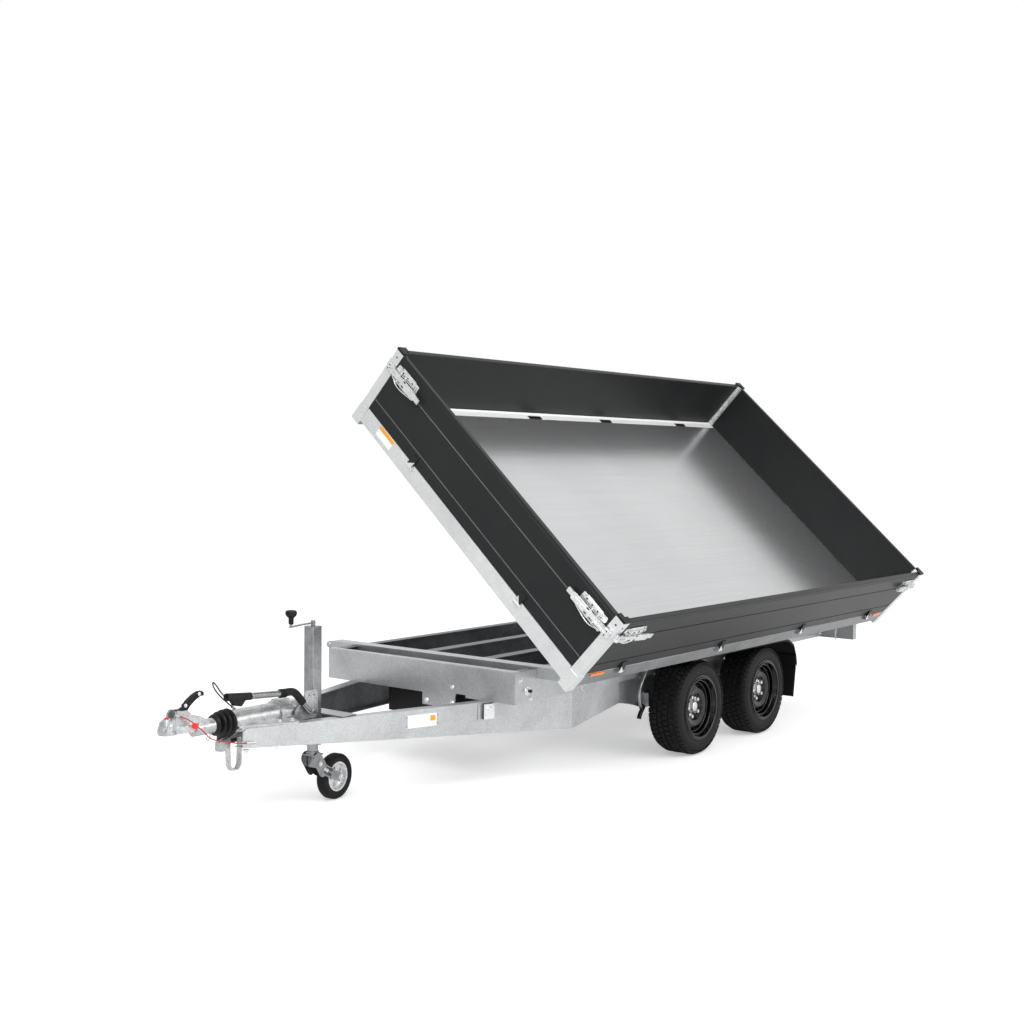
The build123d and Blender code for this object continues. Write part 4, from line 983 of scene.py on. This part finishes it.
bridge = boxPart("bridge", (-0.034, -0.0380, 0.2385), (0.030, 0.0380, 0.2450), 0.002)
fork = onFork(forkParts + [web, head, axle, bridge], "clevis_fork", "zincPlate")
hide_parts("jockey_fork")
onFork(forkNuts, "fork_nuts", "brightZinc")
print("handle and fork done")

# Bright stay of the front mudguard and the black pipe end below it
stay = bent("guard_stay", groundLine([
    (0.612, 0.655, 0.500), (0.640, 0.655, 0.455), (0.682, 0.655, 0.400), (0.690, 0.655, 0.350),
    (0.676, 0.655, 0.296), (0.655, 0.650, 0.278), (0.640, 0.640, 0.270)]), 0.0105)
placed(stay, "chassis", "zincPlate")
pipe = bent("vent_pipe", groundLine([
    (0.600, 0.600, 0.290), (0.620, 0.640, 0.285), (0.652, 0.655, 0.276), (0.680, 0.658, 0.256),
    (0.692, 0.658, 0.228)]), 0.0125)
placed(pipe, "chassis", "bootRubber")
print("small fittings done")

# Latches: built once about the origin, X out of the board, Y towards its end, Z up the board
latchLook = dict(middle=0.262, plate=(0.178, 0.084, 0.0024), rivet=0.0042, springFrom=(0.010, -0.150, -0.030),
                 spring=0.0058, springWire=0.0011, turns=8, stepAlong=0.00085, leverTilt=radians(3.2),
                 rivetsAt=((-0.020, 0.038), (-0.020, -0.030), (-0.182, 0.038), (-0.182, -0.030)), rivetSeat=0.0030)


def turnedPlate(name, width, height, thick, corner, place, tilt=0.0):
    # a rounded plate that lies in Y and Z, its face outwards, tilted about Z
    plate = roundedPlate(name, width, height, thick, corner)
    plate.matrix_world = Matrix.Translation(place) @ Matrix.Rotation(tilt, 4, "Z") @ Matrix(
        ((0, 0, 1, 0), (1, 0, 0, 0), (0, 1, 0, 0), (0, 0, 0, 1)))
    return plate


def pinPart(name, radius, length, place):
    # a pin along Z with a chamfered collar at each end
    profile = [(0, length / 2 + 0.002), (radius * 0.8, length / 2 + 0.002), (radius * 1.3, length / 2),
               (radius * 1.3, length / 2 - 0.002), (radius, length / 2 - 0.0025), (radius, 0.0025 - length / 2),
               (radius * 1.3, 0.002 - length / 2), (radius * 1.3, -length / 2), (radius * 0.8, -length / 2 - 0.002),
               (0, -length / 2 - 0.002)]
    pin = spun(name, profile, 16)
    pin.rotation_euler = (pi / 2, 0, 0)
    pin.location = place
    return pin


def makeLatch():
    # bright steel parts, and apart from them thin black plates in the gaps between them, as painted shade
    bright = [
        turnedPlate("foot", *latchLook["plate"], 0.006, (0.0008, -0.100, 0.004)),
        boxPart("upper_bar", (0.003, -0.168, 0.030), (0.017, -0.040, 0.044)),
        boxPart("upper_lip", (0.003, -0.160, 0.044), (0.0055, -0.048, 0.052)),
        boxPart("hook_upper", (0.0152, -0.052, 0.006), (0.0225, 0.032, 0.016)),
        boxPart("hook_lower", (0.0152, -0.052, -0.016), (0.0225, 0.032, -0.006)),
        boxPart("hook_nose", (0.0040, 0.024, -0.017), (0.0225, 0.034, 0.017)),
        turnedPlate("handle", 0.130, 0.040, 0.0024, 0.008, (0.0236, -0.150, -0.002), latchLook["leverTilt"]),
        turnedPlate("handle_rib", 0.100, 0.010, 0.0020, 0.004, (0.0250, -0.150, -0.002), latchLook["leverTilt"]),
        pinPart("main_pin", 0.0050, 0.060, (0.0125, -0.057, 0)),
        pinPart("lever_pin", 0.0040, 0.056, (0.0150, -0.098, 0)),
        bent("lower_arm", [(0.006, -0.180, -0.034), (0.008, -0.140, -0.041), (0.010, -0.090, -0.048),
                           (0.010, -0.050, -0.043), (0.009, -0.010, -0.020)], 0.0032),
    ]
    x, y, z = latchLook["springFrom"]
    coil = [(x + latchLook["spring"] * cos(step * pi / 4), y + step * latchLook["stepAlong"],
             z + latchLook["spring"] * sin(step * pi / 4)) for step in range(latchLook["turns"] * 8)]
    bright.append(bent("spring", coil, latchLook["springWire"], 2))
    rivetModel = spun("rivet", [(0, 0.0024), (0.003, 0.0018), (latchLook["rivet"], 0.0), (0, 0.0)], 14)
    for y, z in latchLook["rivetsAt"]:
        head = copyOf(rivetModel, "rivet_head")
        head.rotation_euler = (0, 0, -pi / 2)
        head.location = (latchLook["rivetSeat"], y, z)
        bright.append(head)
    discard(rivetModel)
    dark = [turnedPlate("gap", width, height, 0.0006, 0.0028, place, tilt) for width, height, place, tilt in (
        (0.024, 0.008, (0.0030, -0.140, 0.0235), 0.0), (0.018, 0.008, (0.0030, -0.085, 0.0235), 0.0),
        (0.030, 0.009, (0.0030, -0.118, -0.0300), 0.0), (0.016, 0.016, (0.0030, -0.034, -0.0290), 0.0),
        (0.018, 0.0065, (0.0240, -0.112, -0.0155), latchLook["leverTilt"]),
        (0.018, 0.0065, (0.0240, -0.112, 0.0115), latchLook["leverTilt"]),
        (0.010, 0.0075, (0.0171, -0.150, 0.037), 0.0), (0.010, 0.0075, (0.0171, -0.110, 0.037), 0.0),
        (0.010, 0.0075, (0.0171, -0.070, 0.037), 0.0))]
    models = [joined(bright, "latch_model"), joined(dark, "latch_gap_shade_model")]
    for model in models:
        applyPlace(model)
    return models


brightLatch, latchShadeModel = makeLatch()
for side, (face, end, turn) in boardSides.items():
    # the black plates in the latches' gaps are painted shade
    for model, label, finish, slot in ((brightLatch, "latches_", "brightZinc", "zinc_jack"),
                                       (latchShadeModel, "latch_gap_shade_", "blackPlasticAndShade", "black_plastic")):
        copies = []
        for way in (-1, 1):
            # the latch at the board's other end is mirrored
            copy = copyOf(model, label + side)
            copy.matrix_world = bedPlace @ Matrix.Rotation(turn, 4, "Z") @ Matrix.Translation(
                (face, way * end, latchLook["middle"])) @ Matrix.Diagonal((1, way, 1, 1))
            applyPlace(copy)
            faceOutwards(copy)
            copies.append(copy)
        placed(joined(copies, label + side), "board_" + side, finish)
discard(brightLatch, latchShadeModel)
print("latches done")

# Knob of the jack's crank: a sleeve that flares into a wide mushroom
low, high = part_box("crank_knob")
knobLook = dict(tall=high.z - low.z, radius=0.0265, neck=0.0122, below=0.015)
tall, wide = knobLook["tall"], knobLook["radius"]
knob = spun("mushroom_knob", [(0, tall), (wide * 0.55, tall), (wide * 0.90, tall - 0.003), (wide, tall - 0.009),
                              (wide, tall - 0.018), (wide * 0.88, tall - 0.026), (wide * 0.62, tall - 0.032),
                              (knobLook["neck"], tall - 0.037), (0.0115, -0.012), (0.0100, -knobLook["below"]),
                              (0, -knobLook["below"])], 32)
knob.rotation_euler = (pi / 2, 0, 0)
knob.location = ((low.x + high.x) / 2, (low.y + high.y) / 2, low.z)
placed(knob, "chassis", "blackPlasticAndShade")
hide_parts("crank_knob")

# Rolled rings of the wheel's well and disc: radius, reach from the trailer's middle, height of the bead
rimRings = [(0.166, 0.846, 0.0045), (0.150, 0.822, 0.0050), (0.137, 0.802, 0.0045), (0.096, 0.780, 0.0060),
            (0.076, 0.787, 0.0035)]
rings = []
for radius, reach, bead in rimRings:
    profile = [(radius + 1.2 * bead * cos(step * pi / 5), reach + bead * sin(step * pi / 5)) for step in range(10)]
    rings.append(spun("bead", profile, 64, closed=True))
    bpy.ops.object.shade_smooth()
ringModel = joined(rings, "ring_model")
for where, (middle, out) in wheels.items():
    ringSet = copyOf(ringModel, "rim_rings_" + where)
    ringSet.rotation_euler = (0, 0, 0 if out > 0 else pi)
    ringSet.location = (middle.x, 0, middle.z)
    placed(ringSet, "wheel_" + where, "rimCoat")
discard(ringModel)
print("knob and rims done")

# Lenses of the rear lamps: red, amber and clear fields under one rim
lampLook = dict(inset=0.112, tall=0.078, thick=0.004, corner=0.008, edge=0.0015,
                fields=(("stop", "redLens", "red_lens", 0.0, 0.090), ("turn", "amberLens", None, -0.073, 0.048),
                        ("reverse", "labelWhite", None, 0.070, 0.042)))
low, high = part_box("rear_lamps")
for side, sideName in bothSides:
    for name, finish, slot, shift, wide in lampLook["fields"]:
        field = roundedPlate("lens_" + name + "_" + sideName, wide, lampLook["tall"], lampLook["thick"],
                             lampLook["corner"], lampLook["edge"])
        middle = side * (max(abs(low.y), abs(high.y)) - lampLook["inset"]) + side * shift
        field.matrix_world = faceMatrix(Vector((0, -1, 0)), Vector((0, 0, 1)),
                                        Vector((low.x - 0.0001, middle, (low.z + high.z) / 2)))
        placed(field, "chassis", finish)

# Mudguards: rolled sheet over both wheels, open ahead of the front one as in the photograph
guardLook = dict(inner=0.629, outer=0.860, thick=0.0034, lip=0.014, edge=0.0012,
                 line=[(0.470, 0.5475), (0.300, 0.5495), (-0.590, 0.5495), (-0.650, 0.5450), (-0.700, 0.5345),
                       (-0.765, 0.4995), (-0.799, 0.430), (-0.811, 0.373)])
guardLine = [(x, 0, z) for x, z in guardLook["line"]]
guards = []
for side in (-1, 1):
    guard = drawn("guard", guardLine, fromGround(guardLine[0][0], side * guardLook["inner"], guardLine[0][2]))
    bpy.ops.mesh.extrude_region_move(TRANSFORM_OT_translate={
        "value": (0, side * (guardLook["outer"] - guardLook["inner"]), 0)})
    bpy.ops.mesh.extrude_region_move(TRANSFORM_OT_translate={"value": (0, 0, -guardLook["lip"])})
    faceOutwards(guard)
    sheet = guard.modifiers.new("sheet", "SOLIDIFY")
    sheet.thickness, sheet.offset = guardLook["thick"], 0.0
    edge = guard.modifiers.new("edge", "BEVEL")
    edge.width, edge.segments = guardLook["edge"], 2
    bpy.ops.object.modifier_apply(modifier="sheet")
    bpy.ops.object.modifier_apply(modifier="edge")
    guards.append(guard)
guard = placed(joined(guards, "rolled_mudguards"), "chassis", "guardPlastic")
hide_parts("mudguards")

# Brake lever: pivot on the bracket, grey arm, black bent elbow and the tube that carries the grip
leverLook = dict(pivot=(2.569, 0.0703, 0.465), armRadius=0.0118, tubeRadius=0.0110, elbowRadius=0.0180,
                 sleeveAt=(2.842, 0.085, 0.5775), tubeWay=(0.227, 0, 0.0148), ribs=4, firstRib=(2.742, 0.085, 0.5710),
                 ribStep=(0.0095, 0.0006))
leverArm = bent("lever_arm", groundLine([
    (2.569, 0.0875, 0.459), (2.588, 0.0875, 0.468), (2.612, 0.0880, 0.490), (2.652, 0.0885, 0.532)]),
    leverLook["armRadius"])
pivotDrum = spun("lever_pivot", [(0, 0.032), (0.0130, 0.032), (0.0158, 0.0295), (0.0160, 0.0), (0, 0.0)], 32)
pivotDrum.location = fromGround(*leverLook["pivot"])
leverTube = bent("lever_tube", groundLine([
    (2.735, 0.085, 0.5715), (2.840, 0.085, 0.5774), (2.9435, 0.085, 0.5841)]), leverLook["tubeRadius"])
placed(joined([leverArm, pivotDrum, leverTube], "lever_arm"), "chassis", "zincPlate")
elbow = bent("lever_elbow", groundLine([
    (2.636, 0.0890, 0.5150), (2.646, 0.0890, 0.5260), (2.658, 0.0885, 0.5400), (2.680, 0.0870, 0.5640),
    (2.708, 0.0855, 0.5755), (2.745, 0.0850, 0.5720)]), leverLook["elbowRadius"], 14)
placed(elbow, "chassis", "bootRubber")
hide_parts("brake_lever")

# Sleeve of the brake lever's tube and the ribs where the elbow grips it
tubeWay = Vector(leverLook["tubeWay"]).normalized()
sleeve = spun("lever_sleeve", [(0, 0.098), (0.0125, 0.098), (0.0142, 0.0962), (0.0142, -0.0962), (0.0125, -0.098),
                               (0, -0.098)], 28)
aimed(sleeve, (0, 1, 0), tubeWay, fromGround(*leverLook["sleeveAt"]))
placed(sleeve, "chassis", "zincPlate")
rib = spun("rib", [(0.0145, 0.003), (0.0185, 0.003), (0.0200, 0.0015), (0.0200, -0.0015), (0.0185, -0.003),
                   (0.0145, -0.003)], 28)
x, y, z = leverLook["firstRib"]
along, up = leverLook["ribStep"]
ribSpots = [(fromGround(x + step * along, y, z + step * up), tubeWay) for step in range(leverLook["ribs"])]
scattered(rib, ribSpots, "elbow_ribs", "chassis", "bootRubber", axis=(0, 1, 0))

# Small holes near the corner posts' tops, on both outer faces: black discs as painted shade in them
holeLook = dict(height=0.318, frontFace=1.8052, frontAside=0.914, sideFace=0.9402, sideAlong=1.779)
holeSpots = []
for along, across in ((1, 1), (1, -1), (-1, 1), (-1, -1)):
    front = (along * holeLook["frontFace"], across * holeLook["frontAside"], holeLook["height"])
    beside = (along * holeLook["sideAlong"], across * holeLook["sideFace"], holeLook["height"])
    holeSpots += [(onBed(*front), bedTurned((along, 0, 0))), (onBed(*beside), bedTurned((0, across, 0)))]
hole = spun("hole", [(0, 0.0004), (0.0046, 0.0004), (0.0050, 0.0), (0, 0.0)], 18)
scattered(hole, holeSpots, "post_hole_shade", "bed", "blackPlasticAndShade", axis=(0, 1, 0))

# Spring bolt on the left rail: a flanged collar and a black knob
springBolt = fromGround(1.661, 0.628, 0.502)
collar = spun("spring_bolt_collar", [(0, 0.010), (0.011, 0.010), (0.013, 0.008), (0.013, 0.002), (0.021, 0.002),
                                     (0.022, 0.0), (0, 0.0)], 28)
collar.location = springBolt
placed(collar, "chassis", "brightZinc")
grip = spun("spring_bolt_grip", [(0, 0.026), (0.006, 0.0255), (0.0085, 0.022), (0.0085, 0.016), (0.006, 0.011),
                                 (0.006, 0.009), (0, 0.009)], 24)
grip.location = springBolt
placed(grip, "chassis", "blackPlasticAndShade")

# Studs with nuts below the drawbar's nose
studs = [(place, (0, 0, -1)) for place in groundLine([
    (2.970, 0.088, 0.3545), (2.970, -0.088, 0.3545), (2.829, 0.130, 0.3555), (2.829, -0.130, 0.3555)])]
scattered(hexBolt("stud", 0.017, 0.015, 0.003), studs, "nose_studs", "chassis", "brightZinc")

# Stage: pale floor to the horizon, white backdrop, soft light
stageLook = dict(floorSize=80.0, floorColour="#f4f4f4", floorLift=0.37, worldStrength=0.90,
                 darkFrom=-0.1, darkTo=0.8, backColour="#ffffff", aheadColour="#cfcfcf")
selectOnly(None)
bpy.ops.mesh.primitive_plane_add(size=stageLook["floorSize"], location=(0, 0, groundLevel))
floor = bpy.context.object
floor.name = "pale_floor"
floorMaterial, floorTree, floorShader, _ = startMaterial("pale studio floor", {
    "Base Color": linear(stageLook["floorColour"]), "Roughness": 0.9, "Specular IOR Level": 0.0,
    "Emission Color": (1, 1, 1, 1)})
seen = addNode(floorTree, "ShaderNodeLightPath")
lift = addNode(floorTree, "ShaderNodeMath", {"operation": "MULTIPLY"}, {1: stageLook["floorLift"]},
               {0: seen.outputs["Is Camera Ray"]})
floorTree.links.new(lift.outputs[0], floorShader.inputs["Emission Strength"])
floor.data.materials.append(floorMaterial)

world = bpy.data.worlds.new("white studio")
bpy.context.scene.world = world
world.use_nodes = True
worldTree = world.node_tree
worldTree.nodes.clear()
rays = addNode(worldTree, "ShaderNodeLightPath")
bare = addNode(worldTree, "ShaderNodeMath", {"operation": "MAXIMUM"}, None,
               {0: rays.outputs["Is Camera Ray"], 1: rays.outputs["Is Transmission Ray"]})
shown = addNode(worldTree, "ShaderNodeMath", {"operation": "MAXIMUM"}, None,
                {0: bare.outputs[0], 1: rays.outputs["Is Glossy Ray"]})
strength = addNode(worldTree, "ShaderNodeMapRange", values={"To Min": stageLook["worldStrength"], "To Max": 1.0},
                   links={"Value": shown.outputs[0]})
# the half of the studio behind the camera is darker, so that metal has something to show
heading = addNode(worldTree, "ShaderNodeTexCoord").outputs["Generated"]
split = addNode(worldTree, "ShaderNodeSeparateXYZ", links={"Vector": heading})
ahead = addNode(worldTree, "ShaderNodeMapRange", {"interpolation_type": "SMOOTHSTEP"},
                {"From Min": stageLook["darkFrom"], "From Max": stageLook["darkTo"]}, {"Value": split.outputs["X"]})
unseen = addNode(worldTree, "ShaderNodeMath", {"operation": "SUBTRACT", "use_clamp": True}, None,
                 {0: ahead.outputs["Result"], 1: bare.outputs[0]})
tint = addNode(worldTree, "ShaderNodeMix", {"data_type": "RGBA"},
               {"A": linear(stageLook["backColour"]), "B": linear(stageLook["aheadColour"])},
               {"Factor": unseen.outputs[0]})
backdrop = addNode(worldTree, "ShaderNodeBackground",
                   links={"Strength": strength.outputs["Result"], "Color": tint.outputs["Result"]})
addNode(worldTree, "ShaderNodeOutputWorld", links={"Surface": backdrop.outputs[0]})


def softLamp(name, place, aim, size, watts):
    data = bpy.data.lights.new(name, "AREA")
    data.shape = "RECTANGLE"
    data.size, data.size_y = size
    data.energy = watts
    lamp = bpy.data.objects.new(name, data)
    bpy.context.scene.collection.objects.link(lamp)
    lamp.location = place
    lamp.rotation_euler = (Vector(aim) - Vector(place)).to_track_quat("-Z", "Y").to_euler()
    return lamp


softLamp("front soft box", (2.5, 3.0, 4.5), (-2.5, 0.3, 0.2), (4.0, 3.0), 260)
softLamp("side soft box", (-3.5, 6.0, 3.0), (-3.0, 0.0, 0.4), (5.0, 2.5), 160)

# Camera where the photograph was taken from
cameraLook = dict(place=(3.567, 4.542, 1.159), yaw=-2.486, pitch=-0.040, roll=0.011, lens=47.61, sensor=36.0)
forward = Vector((cos(cameraLook["yaw"]) * cos(cameraLook["pitch"]),
                  sin(cameraLook["yaw"]) * cos(cameraLook["pitch"]), sin(cameraLook["pitch"])))
right = Vector((sin(cameraLook["yaw"]), -cos(cameraLook["yaw"]), 0.0))
up = right.cross(forward)
rolledRight = cos(cameraLook["roll"]) * right + sin(cameraLook["roll"]) * up
rolledUp = cos(cameraLook["roll"]) * up - sin(cameraLook["roll"]) * right
cameraData = bpy.data.cameras.new("camera")
cameraData.lens = cameraLook["lens"]
cameraData.sensor_width = cameraLook["sensor"]
camera = bpy.data.objects.new("camera", cameraData)
bpy.context.scene.collection.objects.link(camera)
turn = Matrix((rolledRight, rolledUp, -forward)).transposed()
camera.matrix_world = Matrix.Translation(cameraLook["place"]) @ turn.to_4x4()
bpy.context.scene.camera = camera
bpy.context.scene.view_settings.view_transform = "Standard"
print("stage, light and camera done")
